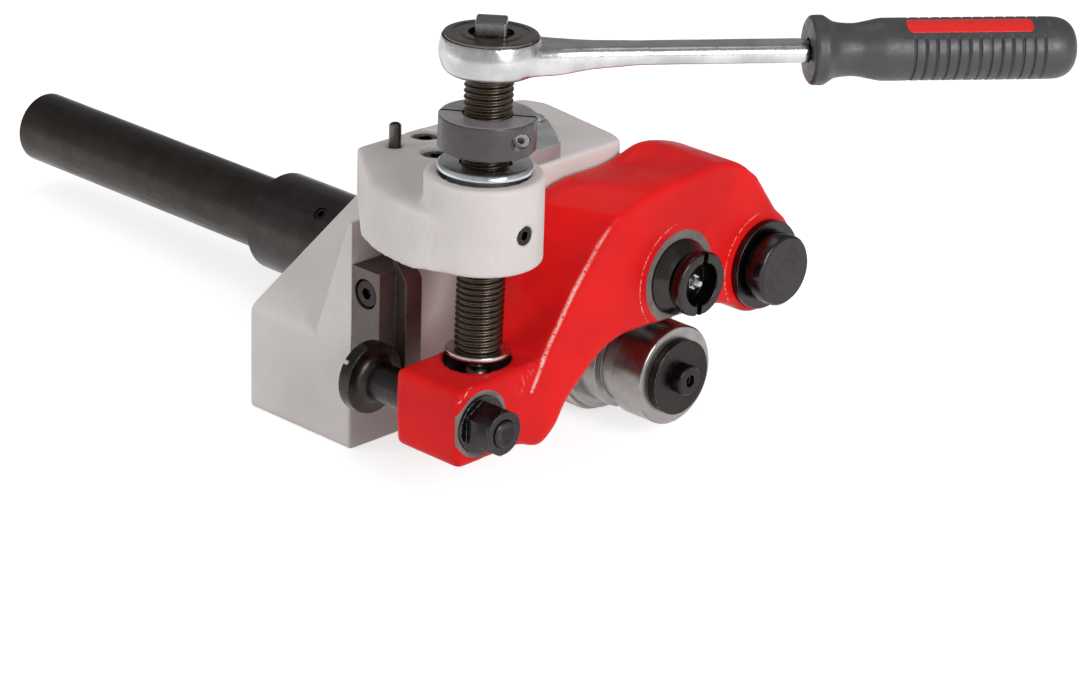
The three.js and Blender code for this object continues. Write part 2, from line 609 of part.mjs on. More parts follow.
// Dark guide block with its upright rib, on the side of the housing's column
function guideBlock() {
  const { left, right, front, top, bottom, taper } = BLOCK;
  const body = extrude(
    "y",
    points([
      [left + taper, -bottom],
      [right, -bottom],
      [right, -top],
      [left, -top],
      [left, -bottom + taper * 3],
    ]),
    front,
    HOUSING.front - GAP,
  );
  const rib = extrude(
    "x",
    points([
      [front + OVER, -bottom],
      [front - RIB.proud, -bottom],
      [front - RIB.proud, -top - RIB.chamfer / 2],
      [front, -top + RIB.chamfer / 2],
      [front + OVER, -top + RIB.chamfer / 2],
    ]),
    right - RIB.width,
    right,
  );
  const headSeat = left + BLOCK_SCREW.sink + BLOCK_SCREW.headDepth;
  const holes = BLOCK_SCREW_Z.flatMap((z) => [
    alongX(rod(BLOCK_SCREW.head + GAP, left - OVER, headSeat), BLOCK_SCREW_Y, z, ROUND),
    alongX(rod(BLOCK_SCREW.shank + GAP, left, right + OVER), BLOCK_SCREW_Y, z, SMALL),
  ]);
  return cut(join(body, rib), ...holes);
}

// Red arm: outline, relieved outer face, pivot hub, roll fork, lug recess and bores
function armOutline(rows) {
  const { reach } = ARM;
  return rows.map(([x, z, corner = 0]) => [PIVOT_LINE.x + x * reach, PIVOT_LINE.z + z * reach, corner * reach]);
}
function armRelief() {
  const far = armOutline([
    [RELIEF_FAR_SHARES.right, CREASE_SHARES.at(-1)[1]],
    [RELIEF_FAR_SHARES.right, RELIEF_FAR_SHARES.top],
    [RELIEF_FAR_SHARES.left, RELIEF_FAR_SHARES.top],
    [RELIEF_FAR_SHARES.left, CREASE_SHARES[0][1]],
  ]);
  const front = points([...armOutline(CREASE_SHARES), ...far]);
  const rear = points([...armOutline(RIM_SHARES), ...far]);
  return loft(rear, ARM.rim - ARM.rear, front, -ARM_FRONT + GAP).applyMatrix4(ALONG.y);
}
function arm() {
  const body = extrude("y", rounded(armOutline(ARM_OUTLINE_SHARES)), ARM_FRONT, ARM.rear, ARM.edge);
  const hub = alongY(chamfered(ARM.hub, ARM_FRONT, ARM.rear, ARM.edge), PIVOT_LINE, LARGE);
  const bushBore = PIVOT.radius + GAP + PIVOT.bushWall + GAP;
  const lugTop = PIVOT_LINE.z + ARM_OUTLINE_SHARES.at(-1)[1] * ARM.reach;
  const recessFloor = BALL_Z - GAP;
  const guideY = [ARM_FRONT - OVER, ARM.rear + OVER];
  return cut(
    join(cut(body, armRelief()), hub),
    alongY(rod(bushBore, ...guideY), PIVOT_LINE),
    alongY(rod(SPINDLE.radius + GAP, ...guideY), ROLL_LINE),
    alongY(rod(FORK.radius, FORK.front, FORK.rear), ROLL_LINE, LARGE),
    alongY(rod(SPOT.radius, ARM_FRONT - OVER, SPOT_Y), ROLL_LINE, LARGE),
    alongY(rod(SPOT.nutRadius, ARM_FRONT - OVER, SPOT_Y), GUIDE_LINE),
    alongY(rod(GUIDE.shaft + GAP, ...guideY), GUIDE_LINE),
    alongZ(rod(LUG.recess, recessFloor, lugTop + LUG.recess), LUG.offsetX, LUG.offsetY),
    alongZ(rod(LUG.bore, BALL_Z - SEAT.bottom - GAP, lugTop), BALL_X, 0),
  );
}

// Ball centre under the tilted screw, seen from the boss
const TILT = THREE.MathUtils.degToRad(FEED_TILT_DEGREES);
const BALL_X = BALL_W * Math.sin(TILT);

// Seat under the screw's ball end, in the lug's bore
function swivelSeat() {
  const cup = new THREE.SphereGeometry(FEED.ball + SEAT.cupPlay, ROUND, SMALL).translate(BALL_X, 0, BALL_Z);
  return cut(alongZ(rod(SEAT.radius, BALL_Z - SEAT.bottom, BALL_Z - GAP), BALL_X, 0), cup);
}

// Guide bolt: notched disc, shoulder and shaft through the lug; the nut and washer sit in front
const nutFront = SPOT_Y - GAP - GUIDE_NUT.washerWidth - GUIDE_NUT.thickness;
function guideBolt() {
  const discFront = GUIDE.discRear - GUIDE.discWidth;
  const shoulderFront = ARM.rear + GAP;
  const body = alongY(
    [
      [0, nutFront - GUIDE_NUT.proud],
      [GUIDE.shaft - GAP, nutFront - GUIDE_NUT.proud],
      [GUIDE.shaft, nutFront],
      [GUIDE.shaft, shoulderFront],
      [GUIDE.shoulder, shoulderFront],
      [GUIDE.shoulder, discFront],
      [GUIDE.disc - GAP * 2, discFront],
      [GUIDE.disc, discFront + GAP * 2],
      [GUIDE.disc, GUIDE.discRear - GAP * 2],
      [GUIDE.disc - GAP * 2, GUIDE.discRear],
      [0, GUIDE.discRear],
    ],
    GUIDE_LINE,
  );
  const { width, depth } = NOTCH;
  const notches = [0, 1, 2, 3].map((i) =>
    box(-width / 2, width / 2, discFront - OVER, GUIDE.discRear + OVER, GUIDE.disc - depth, GUIDE.disc + OVER)
      .rotateY((i * Math.PI) / 2)
      .translate(GUIDE_LINE.x, 0, GUIDE_LINE.z),
  );
  return cut(body, ...notches);
}
function guideNut() {
  const radius = hexRows(GUIDE_NUT.flats);
  const { thickness, washer, washerWidth } = GUIDE_NUT;
  const washerFront = nutFront + thickness;
  const hex = new THREE.CylinderGeometry(radius, radius, thickness, HEX);
  hex.translate(0, nutFront + thickness / 2, 0);
  const crown = alongY([
    [0, nutFront],
    [GUIDE_NUT_CROWN.face, nutFront],
    [radius + GAP, nutFront + GUIDE_NUT_CROWN.depth],
    [radius + GAP, washerFront],
    [0, washerFront],
  ]);
  const flange = alongY(rod(washer, washerFront - GAP, washerFront + washerWidth));
  const nut = join(asSolid(hex).intersect(asSolid(crown)), flange);
  const bore = alongY(rod(GUIDE.shaft + GAP, nutFront - OVER, washerFront + washerWidth + OVER));
  return cut(nut, bore);
}

// Groove roll with its tapered ridge, and the bush it turns on
function grooveRoll() {
  const bore = SPINDLE.radius + GAP + BUSH.wall + GAP;
  const { radius, ridge, ridgeWidth, ridgeTip, ridgeY } = ROLL;
  const [front, rear] = [FORK.front + PLAY, FORK.rear - PLAY];
  const rows = [
    [bore, front],
    [radius - GAP, front],
    [radius, front + GAP],
    [radius, ridgeY - ridgeWidth / 2],
    [radius + ridge, ridgeY - ridgeTip / 2],
    [radius + ridge, ridgeY + ridgeTip / 2],
    [radius, ridgeY + ridgeWidth / 2],
    [radius, rear],
    [bore, rear],
  ];
  return alongY(rows, ROLL_LINE, LARGE);
}
function grooveBush() {
  const inner = SPINDLE.radius + GAP;
  return alongY(tube(inner, inner + BUSH.wall, FORK.front + PLAY, FORK.rear - PLAY), ROLL_LINE);
}

// Spindle: slotted, recessed head in front and a circlip groove behind the arm
function spindle() {
  const headRear = SPOT_Y - GAP;
  const ringRear = headRear - SPINDLE_RING.y;
  const ringFront = ringRear - SPINDLE_RING.width;
  const end = ARM.rear + SPINDLE_END.proud;
  const grooveFront = ARM.rear + CLIP.grooveY;
  const grooveRear = grooveFront + CLIP.width + GAP;
  const body = alongY(
    [
      [0, ringFront + SPINDLE_END.recessDepth],
      [SPINDLE.recess, ringFront + SPINDLE_END.recessDepth],
      [SPINDLE.recess, ringFront + GAP * 2],
      [SPINDLE.recess + GAP * 2, ringFront],
      [SPINDLE_RING.radius - GAP * 3, ringFront],
      [SPINDLE_RING.radius, ringFront + GAP * 3],
      [SPINDLE_RING.radius, ringRear],
      [SPINDLE.waist, headRear - SPINDLE.waistY],
      [SPINDLE.head, headRear - GAP * 4],
      [SPINDLE.head, headRear],
      [SPINDLE.radius, headRear],
      [SPINDLE.radius, grooveFront],
      [SPINDLE.radius - CLIP.groove, grooveFront],
      [SPINDLE.radius - CLIP.groove, grooveRear],
      [SPINDLE.radius, grooveRear],
      [SPINDLE.radius, end - GAP],
      [SPINDLE.radius - GAP, end],
      [0, end],
    ],
    ROLL_LINE,
  );
  const { slot, slotDepth } = SPINDLE_END;
  const seatY = ringFront + SPINDLE_END.recessDepth;
  const wide = SPINDLE_RING.radius + OVER;
  const across = box(-wide, wide, ringFront - OVER, ringFront + slotDepth, -slot / 2, slot / 2);
  const port = alongY(rod(NIPPLE.neck, seatY - OVER, seatY + NIPPLE.length), ROLL_LINE, SMALL);
  return cut(body, across.translate(ROLL_LINE.x, 0, ROLL_LINE.z), port);
}
function nipple() {
  const seatY = SPOT_Y - GAP - SPINDLE_RING.y - SPINDLE_RING.width + SPINDLE_END.recessDepth;
  const hexRadius = hexRows(NIPPLE.base * 2);
  const hexY = seatY - GAP - NIPPLE.hexLength / 2;
  const hex = new THREE.CylinderGeometry(hexRadius, hexRadius, NIPPLE.hexLength, HEX).translate(0, hexY, 0);
  const front = seatY - GAP - NIPPLE.hexLength;
  const stem = alongY(
    [
      [0, seatY - GAP - NIPPLE.length],
      [NIPPLE.tip, seatY - GAP - NIPPLE.length],
      [NIPPLE.head, seatY - NIPPLE.length + NIPPLE.neck],
      [NIPPLE.stem, front - GAP],
      [NIPPLE.stem, seatY + NIPPLE.length / 2],
      [0, seatY + NIPPLE.length / 2],
    ],
    undefined,
    SMALL,
  );
  return join(hex, stem);
}
function circlip() {
  const front = ARM.rear + CLIP.grooveY + GAP / 2;
  const inner = SPINDLE.radius - CLIP.groove + GAP;
  const outer = SPINDLE.radius + BUSH.wall;
  const ring = alongY(tube(inner, outer, front, front + CLIP.width));
  const mouth = box(-SPINDLE.radius / 2, SPINDLE.radius / 2, front - OVER, front + OVER * 2, -outer - OVER, 0);
  return cut(ring, mouth);
}

// Pivot: pin with its cap, bush, thrust washer and rear nut
const pinFront = ARM_FRONT - GAP - CAP.ringWidth;
function pivotPin() {
  const end = HOUSING_REAR + PIVOT_NUT.thickness + PIVOT_NUT.proud;
  return alongY(chamfered(PIVOT.radius, pinFront, end, GAP * 3), PIVOT_LINE);
}
function pivotCap() {
  const front = ARM_FRONT - CAP.length;
  const shelf = pinFront - GAP;
  const rear = ARM_FRONT - GAP;
  const bore = PIVOT.radius + GAP;
  return alongY(
    [
      [0, front],
      [CAP.disc - CAP.edge, front],
      [CAP.disc, front + CAP.edge],
      [CAP.disc, shelf - CAP.neckWidth - CAP.edge],
      [CAP.neck, shelf - CAP.neckWidth],
      [CAP.neck, shelf],
      [CAP.ring - GAP, shelf],
      [CAP.ring, shelf + GAP],
      [CAP.ring, rear],
      [bore, rear],
      [bore, shelf],
      [0, shelf],
    ],
    PIVOT_LINE,
    LARGE,
  );
}
function pivotBush() {
  const inner = PIVOT.radius + GAP;
  return alongY(tube(inner, inner + PIVOT.bushWall, ARM_FRONT + GAP, ARM.rear), PIVOT_LINE);
}
function pivotWasher() {
  const front = ARM.rear + GAP;
  return alongY(tube(PIVOT.radius + GAP, PIVOT.washer, front, front + PIVOT.washerWidth), PIVOT_LINE, LARGE);
}
function pivotNut() {
  const radius = hexRows(PIVOT_NUT.flats);
  const front = HOUSING_REAR + GAP;
  const hex = new THREE.CylinderGeometry(radius, radius, PIVOT_NUT.thickness, HEX).rotateY(Math.PI / HEX);
  const bore = alongY(rod(PIVOT.radius + GAP, -PIVOT_NUT.thickness, PIVOT_NUT.thickness));
  return cut(hex.translate(0, front + PIVOT_NUT.thickness / 2, 0), bore.translate(0, front, 0));
}

// Drive shaft with its nose, journals and stub
const coverRear = HOUSING_REAR + GAP + COVER.width;
const ROLL_LENGTH = FRONT_BLOCK.front - GAP * 3 - DRIVE_ROLL.front;
const noseRear = DRIVE_ROLL.front + ROLL_LENGTH + GAP;
function driveShaft() {
  const end = BAR.start - GAP;
  const body = alongY(
    [
      [0, DRIVE_ROLL.front + GAP],
      [DRIVE.nose, DRIVE_ROLL.front + GAP],
      [DRIVE.nose, noseRear],
      [DRIVE.journal, noseRear],
      [DRIVE.journal, coverRear + GAP],
      [DRIVE.stub, coverRear + GAP],
      [DRIVE.stub, end - GAP * 3],
      [DRIVE.stub - GAP * 3, end],
      [0, end],
    ],
    DRIVE_LINE,
    LARGE,
  );
  const { width, height, front, rear } = DRIVE_KEY;
  const half = width / 2 + GAP;
  const keyFoot = DRIVE.nose - height / 2 - GAP;
  const seat = box(-half, half, front - GAP, rear + GAP, keyFoot, DRIVE.nose + OVER);
  const thread = rod(ROLL_SCREW.shank + GAP, DRIVE_ROLL.front - OVER, DRIVE_ROLL.front + ROLL_SCREW.length);
  return cut(body, seat.translate(DRIVE_LINE.x, 0, DRIVE_LINE.z), alongY(thread, DRIVE_LINE, SMALL));
}
function driveRoll() {
  const { radius, front, groove, grooveWidth, flange, flangeWidth, edge } = DRIVE_ROLL;
  const rear = front + ROLL_LENGTH;
  const bore = DRIVE.nose + GAP;
  const [open, shut] = [ROLL.ridgeY - grooveWidth / 2, ROLL.ridgeY + grooveWidth / 2];
  const body = alongY(
    [
      [bore, front],
      [radius - edge, front],
      [radius, front + edge],
      [radius, open],
      [radius - groove, open + edge],
      [radius - groove, shut - edge],
      [radius, shut],
      [radius, rear - flangeWidth],
      [flange, rear - flangeWidth],
      [flange, rear],
      [bore, rear],
    ],
    DRIVE_LINE,
    LARGE,
  );
  const { width, height } = DRIVE_KEY;
  const half = width / 2 + GAP;
  const way = box(-half, half, front - OVER, rear + OVER, 0, DRIVE.nose + height / 2 + GAP);
  return cut(body, way.translate(DRIVE_LINE.x, 0, DRIVE_LINE.z));
}
function driveKey() {
  const { width, height, front, rear } = DRIVE_KEY;
  return box(-width / 2, width / 2, front, rear, DRIVE.nose - height / 2, DRIVE.nose + height / 2);
}
function rollWasher() {
  const rear = DRIVE_ROLL.front - GAP;
  return alongY(tube(ROLL_SCREW.shank + GAP, ROLL_WASHER.radius, rear - ROLL_WASHER.thickness, rear));
}

// A bearing: two races with a shallow recess between them in front
function bearing(front, width) {
  const { radius, bore } = BEARING;
  const { inner, outer, recess } = BEARING_RACE;
  return alongY(
    [
      [bore, front],
      [bore + inner, front],
      [bore + inner, front + recess],
      [radius - outer, front + recess],
      [radius - outer, front],
      [radius, front],
      [radius, front + width],
      [bore, front + width],
    ],
    DRIVE_LINE,
    LARGE,
  );
}
function frontSeal() {
  const { front } = FRONT_BLOCK;
  return alongY(tube(BEARING.bore, BEARING.radius, front, front + SEAL.width), DRIVE_LINE, LARGE);
}
function coverScrewPlaces() {
  return Array.from({ length: COVER.screws }, (_, i) => {
    const angle = ((i + 0.5) / COVER.screws) * Math.PI * 2;
    const { screwCircle } = COVER;
    return [DRIVE_LINE.x + screwCircle * Math.cos(angle), DRIVE_LINE.z + screwCircle * Math.sin(angle)];
  }).filter(([, z]) => z > -HOUSING.base + COVER_SCREW.head);
}
function bearingCover() {
  const front = HOUSING_REAR + GAP;
  const disc = alongY(tube(DRIVE.journal + PLAY, COVER.radius, front, coverRear), DRIVE_LINE, LARGE);
  const foot = box(-COVER.radius, COVER.radius, front - OVER, coverRear + OVER, -COVER.radius * 2, 0);
  foot.translate(DRIVE_LINE.x, 0, -HOUSING.base + GAP);
  const holes = coverScrewPlaces().map(([x, z]) =>
    alongY(rod(COVER_SCREW.radius + GAP, front - OVER, coverRear + OVER), { x, z }, SMALL),
  );
  return cut(disc, foot, ...holes);
}

// Coupling sleeve, its set screws and the drive bar
const couplingScrewY = COUPLING_SCREW.yShares.map((share) => COUPLING.front + share * COUPLING.length);
const radialTurn = THREE.MathUtils.degToRad(COUPLING_SCREW.turnDegrees);
const radial = (geometry) => geometry.rotateY(-radialTurn);
function coupling() {
  const { radius, front, length, edge } = COUPLING;
  const bore = BAR.radius + GAP;
  const rear = front + length;
  const sleeve = alongY(
    [
      [bore, front],
      [radius - edge, front],
      [radius, front + edge],
      [radius, rear - edge],
      [radius - edge, rear],
      [bore, rear],
    ],
    DRIVE_LINE,
    LARGE,
  );
  const hole = COUPLING_SCREW.radius + GAP;
  const holes = couplingScrewY.map((y) =>
    radial(alongX(rod(hole, bore / 2, radius + OVER), y, 0, SMALL)).translate(DRIVE_LINE.x, 0, DRIVE_LINE.z),
  );
  return cut(sleeve, ...holes);
}
function setScrew({ radius, length, socket }, start) {
  const body = alongX(chamfered(radius, start, start + length, GAP), 0, 0, SMALL);
  const drive = new THREE.CylinderGeometry(socket, socket, length, HEX).rotateZ(-Math.PI / 2);
  return cut(body, drive.translate(start + length, 0, 0));
}
function driveBar() {
  const end = BAR.start + BAR.length;
  return alongY(chamfered(BAR.radius, BAR.start, end, BAR.edge), DRIVE_LINE, LARGE);
}

// Trunnion screw, from the front face of the boss inwards to the rocking nut
function trunnionScrew() {
  const outer = BOSS.radius - GAP * 4;
  const inner = BOSS.bore + GAP;
  const body = alongY(
    [
      [0, -outer],
      [TRUNNION.radius, -outer],
      [TRUNNION.radius, -inner],
      [TRUNNION.point, -inner],
      [TRUNNION.point, -inner + TRUNNION.pointLength],
      [0, -inner + TRUNNION.pointLength],
    ],
    undefined,
    SMALL,
  );
  const drive = new THREE.CylinderGeometry(TRUNNION.socket, TRUNNION.socket, TRUNNION.point * 2, HEX);
  return cut(body, drive.translate(0, -outer, 0));
}

// Rocking nut: flanged body in the boss, with trunnion holes
function rockingNut() {
  const { radius, foot, flangeRadius, flange, edge, bore } = NUT;
  const body = alongZ(
    [
      [bore, -foot],
      [radius, -foot],
      [radius, FLANGE_W],
      [flangeRadius, FLANGE_W],
      [flangeRadius, NUT_TOP_W - edge],
      [flangeRadius - edge, NUT_TOP_W],
      [bore + edge, NUT_TOP_W],
      [bore, NUT_TOP_W - edge],
    ],
    0,
    0,
    LARGE,
  );
  const hole = alongY(rod(TRUNNION.point + GAP, -radius - OVER, -bore - OVER), undefined, SMALL);
  return cut(body, hole, hole.clone().rotateZ(Math.PI));
}

// Feed screw with its neck, ball end and square socket
function feedScrew() {
  const { radius, edge, neck, ball, socketDepth } = FEED;
  const ballTop = BALL_W + Math.sqrt(ball ** 2 - (neck / 2) ** 2);
  const shaft = alongZ([
    [0, ballTop - ball / 2],
    [neck / 2, ballTop - ball / 2],
    [neck, FEED_BOTTOM_W - THRUST.thickness - GAP * 2],
    [neck, FEED_BOTTOM_W],
    [radius - edge, FEED_BOTTOM_W],
    [radius, FEED_BOTTOM_W + edge],
    [radius, FEED_TOP_W - edge],
    [radius - edge / 2, FEED_TOP_W],
    [0, FEED_TOP_W],
  ]);
  const sphere = new THREE.SphereGeometry(ball, ROUND, SMALL).rotateX(Math.PI / 2).translate(0, 0, BALL_W);
  const half = RATCHET.square / 2 + GAP;
  const socket = box(-half, half, -half, half, FEED_TOP_W - socketDepth, FEED_TOP_W + OVER);
  return cut(join(shaft, sphere), socket);
}
function thrustWasher() {
  const top = FEED_BOTTOM_W - GAP;
  const { radius, thickness, edge } = THRUST;
  const inner = FEED.neck + GAP;
  return alongZ([
    [inner, top - thickness],
    [radius - edge, top - thickness],
    [radius, top - thickness + edge],
    [radius, top - edge],
    [radius - edge, top],
    [inner, top],
  ]);
}

// Two-piece clamp collar; local X runs along its slits and one screw head sits in each half
function collarHalf() {
  const { radius, bore, height, slit, edge } = COLLAR;
  const top = COLLAR_W + height;
  const ring = alongZ(
    [
      [bore, COLLAR_W],
      [radius - edge, COLLAR_W],
      [radius, COLLAR_W + edge],
      [radius, top - edge],
      [radius - edge, top],
      [bore, top],
    ],
    0,
    0,
    LARGE,
  );
  const limit = radius + OVER;
  const away = box(-limit, limit, -limit, slit / 2, COLLAR_W - OVER, top + OVER);
  const middle = COLLAR_W + height / 2;
  const { offset, radius: thread, head, length, inset } = COLLAR_SCREW;
  const face = Math.sqrt(radius ** 2 - (offset + head) ** 2);
  const seat = length - inset - GAP;
  const headHole = alongY(rod(head + GAP, slit / 2 + inset + GAP, radius), { x: offset, z: middle }, SMALL);
  const shankHole = alongY(rod(thread + GAP, 0, radius), { x: offset, z: middle }, SMALL);
  const blind = alongY(rod(thread + GAP, 0, Math.min(seat, face)), { x: -offset, z: middle }, SMALL);
  return cut(ring, away, headHole, shankHole, blind);
}
function collarScrew() {
  const { head, headDepth, radius, socket, inset } = COLLAR_SCREW;
  const seat = COLLAR.slit / 2 + inset + GAP * 2;
  const tip = -Math.sqrt(COLLAR.radius ** 2 - (COLLAR_SCREW.offset + head) ** 2) + GAP * 2;
  const body = alongY(
    [
      [0, tip],
      [radius, tip],
      [radius, seat],
      [head, seat],
      [head, seat + headDepth],
      [0, seat + headDepth],
    ],
    undefined,
    SMALL,
  );
  const drive = new THREE.CylinderGeometry(socket, socket, headDepth, HEX).translate(0, seat + headDepth, 0);
  return cut(body, drive);
}

// Ratchet head and shank in one forging; local X runs along the handle
function shankSection(i) {
  const { along, half, top, bottom, corner } = SHANK_SECTIONS;
  const [x, w, t, b] = [along[i], half[i], top[i], -bottom[i]];
  return [
    [x, -w + corner, b],
    [x, w - corner, b],
    [x, w, b + corner],
    [x, w, t - corner],
    [x, w - corner, t],
    [x, -w + corner, t],
    [x, -w, t - corner],
    [x, -w, b + corner],
  ];
}
function ratchetBody() {
  const { radius, height, foot, mouth, bulgeShare } = HEAD;
  const { floor, cavity } = HEAD_INSIDE;
  const middle = HEAD_W + height / 2;
  const head = alongZ(
    [
      [0, HEAD_W],
      [foot, HEAD_W],
      [(foot + radius) / 2, HEAD_W + (height * bulgeShare) / 4],
      [radius, HEAD_W + height * bulgeShare],
      [radius, middle + height / 8],
      [mouth + GAP * 3, HEAD_TOP_W - GAP * 2],
      [mouth + GAP * 2, HEAD_TOP_W],
      [0, HEAD_TOP_W],
    ],
    0,
    0,
    LARGE,
  );
  const shank = skin(SHANK_SECTIONS.along.map((_, i) => shankSection(i))).translate(0, 0, middle);
  const tangRows = rod(TANG.radius - PLAY, SHANK_SECTIONS.along.at(-1) - OVER, GRIP.start + TANG.length);
  const coverSeat = HEAD_TOP_W - RATCHET_COVER.sink - GAP;
  const pocketHalf = PAWL.width / 2 + GAP;
  const pocket = box(0, cavity + PAWL.pocketDepth, -pocketHalf, pocketHalf, HEAD_W + floor, coverSeat);
  const half = RATCHET.square / 2;
  return cut(
    join(head, shank, alongX(tangRows, 0, middle, SMALL)),
    alongZ(rod(cavity, HEAD_W + floor, coverSeat + GAP)),
    alongZ(rod(half * Math.SQRT2 + GAP, HEAD_W - OVER, HEAD_W + floor + GAP)),
    alongZ(rod(RATCHET_COVER.radius + GAP, coverSeat, HEAD_TOP_W + OVER), 0, 0, LARGE),
    pocket,
  );
}
function ratchetCover() {
  const { radius, thickness, sink, ringDepth } = RATCHET_COVER;
  const { rim, step, hub } = COVER_RINGS;
  const bottom = HEAD_TOP_W - sink;
  const top = bottom + thickness;
  const hole = (RATCHET.square / 2) * Math.SQRT2 + GAP;
  return alongZ(
    [
      [hole, bottom],
      [radius, bottom],
      [radius, top - ringDepth],
      [rim, top],
      [step, top],
      [step - ringDepth, top - ringDepth],
      [hub + ringDepth, top - ringDepth],
      [hub, top],
      [hole, top],
    ],
    0,
    0,
    LARGE,
  );
}

// Ratchet gear with pointed teeth on the square drive
function ratchetGear() {
  const { gear, gearGap, teeth, tooth, square } = RATCHET;
  const outline = Array.from({ length: teeth * 2 }, (_, i) => {
    const angle = (i / (teeth * 2)) * Math.PI * 2;
    const radius = i % 2 ? gear : gear - tooth;
    return new THREE.Vector2(radius * Math.cos(angle), radius * Math.sin(angle));
  });
  const from = HEAD_W + HEAD_INSIDE.floor + gearGap;
  const to = HEAD_TOP_W - RATCHET_COVER.sink - gearGap;
  const half = square / 2 + GAP;
  return cut(extrude("z", outline, from, to), box(-half, half, -half, half, from - OVER, to + OVER));
}
function squareDrive() {
  const half = RATCHET.square / 2;
  const bottom = FEED_TOP_W - FEED.socketDepth + GAP;
  const top = HEAD_TOP_W + RATCHET.stub;
  const edge = half / 10;
  const outline = rounded([
    [-half, -half, edge * 2],
    [half, -half, edge * 2],
    [half, half, edge * 2],
    [-half, half, edge * 2],
  ]);
  return extrude("z", outline, bottom, top, edge);
}
function pawl() {
  const from = HEAD_W + HEAD_INSIDE.floor + GAP;
  const to = HEAD_TOP_W - RATCHET_COVER.sink - GAP * 2;
  const start = RATCHET.gear + GAP;
  return box(start, start + PAWL.length, -PAWL.width / 2, PAWL.width / 2, from, to);
}

// Moulded grip: flange, waist, bulge, ribs and rounded end, turned about the handle's line
function gripRows() {
  const { start, length, flange, flangeWidth, waist, bulge } = GRIP;
  const at = (share) => start + share * length;
  const flangeEdge = flangeWidth / 4;
  const { waist: waistShare, bulge: bulgeShare, ribStart, ribEnd, round } = GRIP_SHARES;
  const { count, depth, ribHalfShare } = GRIP_RIBS;
  const rows = [
    [flange - flangeEdge, start],
    [flange, start + flangeEdge],
    [flange, start + flangeWidth - flangeEdge],
    [flange - flangeEdge, start + flangeWidth],
    [(flange + waist * 2) / 3, start + flangeWidth + flangeEdge],
    [waist, at(waistShare) - flangeEdge],
    [waist, at(waistShare)],
    [(waist + bulge) / 2, at((waistShare + bulgeShare) / 2)],
    [bulge, at(bulgeShare)],
  ];
  const pitch = (ribEnd - ribStart) / count;
  for (let i = 0; i <= count; i++) {
    const middle = ribStart + i * pitch;
    rows.push(
      [bulge, at(middle - pitch * ribHalfShare)],
      [bulge - depth, at(middle)],
      [bulge, at(middle + pitch * ribHalfShare)],
    );
  }
  const places = [round - GRIP_END.startShare, round, (round + 1) / 2, 1];
  GRIP_END.shares.forEach((share, i) => rows.push([GRIP_END.radius * share, at(places[i])]));
  return rows;
}
function ratchetGrip() {
  const middle = HEAD_W + HEAD.height / 2;
  const rows = gripRows();
  const body = alongX([[0, GRIP.start], ...rows, [0, rows.at(-1)[1]]], 0, middle);
  const bore = alongX(rod(TANG.radius, GRIP.start - OVER, GRIP.start + TANG.length + GAP), 0, middle, SMALL);
  const seat = insetShape(GAP, middle + INSET.floor, middle + GRIP.bulge + OVER);
  return cut(body, bore, seat);
}
function insetShape(extra, bottom, top) {
  const { start, length, width, corner } = INSET;
  const [x0, x1] = [GRIP.start + start - extra, GRIP.start + start + length + extra];
  const half = width / 2 + extra;
  return extrude(
    "z",
    rounded([
      [x0, -half, corner],
      [x1, -half, corner],
      [x1, half, corner],
      [x0, half, corner],
    ]),
    bottom,
    top,
  );
}
function gripInset() {
  const bottom = HEAD_W + HEAD.height / 2 + INSET.floor + GAP;
  return insetShape(0, bottom, bottom + INSET.thickness);
}

// Assembly
const machine = new THREE.Group();
const put = (parent, mesh, x = 0, y = 0, z = 0) => {
  mesh.position.set(x, y, z);
  parent.add(mesh);
  return mesh;
};

put(machine, piece("housing", cut(housing(), ...housingBores()), "grey"));
put(machine, piece("screw_bracket", screwBracket(), "grey"));
capScrewPlaces.forEach(([x, y], i) =>
  put(machine, piece(`bracket_screw_${i + 1}`, socketScrew(CAPSCREW), "black"), x, y, capScrewTop + GAP),
);
put(machine, piece("roll_pin", rollPin(), "dark"), ...rollPinPlace);
put(machine, piece("depth_gauge", depthGauge(), "zinc"));
put(machine, piece("gauge_screw", gaugeScrew(), "zinc"), ...gaugeScrewPlace);
put(machine, piece("guide_block", guideBlock(), "dark"));
BLOCK_SCREW_Z.forEach((z, i) => {
  const { head, headDepth, shank, length, socket, sink } = BLOCK_SCREW;
  const shape = socketScrew({ head, headHeight: headDepth, shank, length, socket });
  const screw = piece(`guide_block_screw_${i + 1}`, shape, "black");
  screw.rotation.y = -Math.PI / 2;
  put(machine, screw, BLOCK.left + sink - GAP, BLOCK_SCREW_Y, z);
});

["front", "rear"].forEach((end, i) => {
  const screw = piece(`trunnion_screw_${end}`, trunnionScrew(), "black");
  screw.rotation.z = i * Math.PI;
  put(machine, screw, 0, 0, -TRUNNION.drop);
});

put(machine, piece("arm", arm(), "red"));
put(machine, piece("swivel_seat", swivelSeat(), "steel"));
put(machine, piece("guide_bolt", guideBolt(), "black"));
put(machine, piece("guide_nut", guideNut(), "black"), GUIDE_LINE.x, 0, GUIDE_LINE.z);
put(machine, piece("groove_roll", grooveRoll(), "steel"));
put(machine, piece("groove_roll_bush", grooveBush(), "bronze"));
put(machine, piece("groove_roll_spindle", spindle(), "black"));
put(machine, piece("grease_nipple", nipple(), "zinc"), ROLL_LINE.x, 0, ROLL_LINE.z);
put(machine, piece("spindle_circlip", circlip(), "dark"), ROLL_LINE.x, 0, ROLL_LINE.z);
put(machine, piece("pivot_pin", pivotPin(), "steel"));
put(machine, piece("pivot_cap", pivotCap(), "black"));
put(machine, piece("pivot_bush", pivotBush(), "bronze"));
put(machine, piece("pivot_washer", pivotWasher(), "steel"));
put(machine, piece("pivot_nut", pivotNut(), "black"), PIVOT_LINE.x, 0, PIVOT_LINE.z);

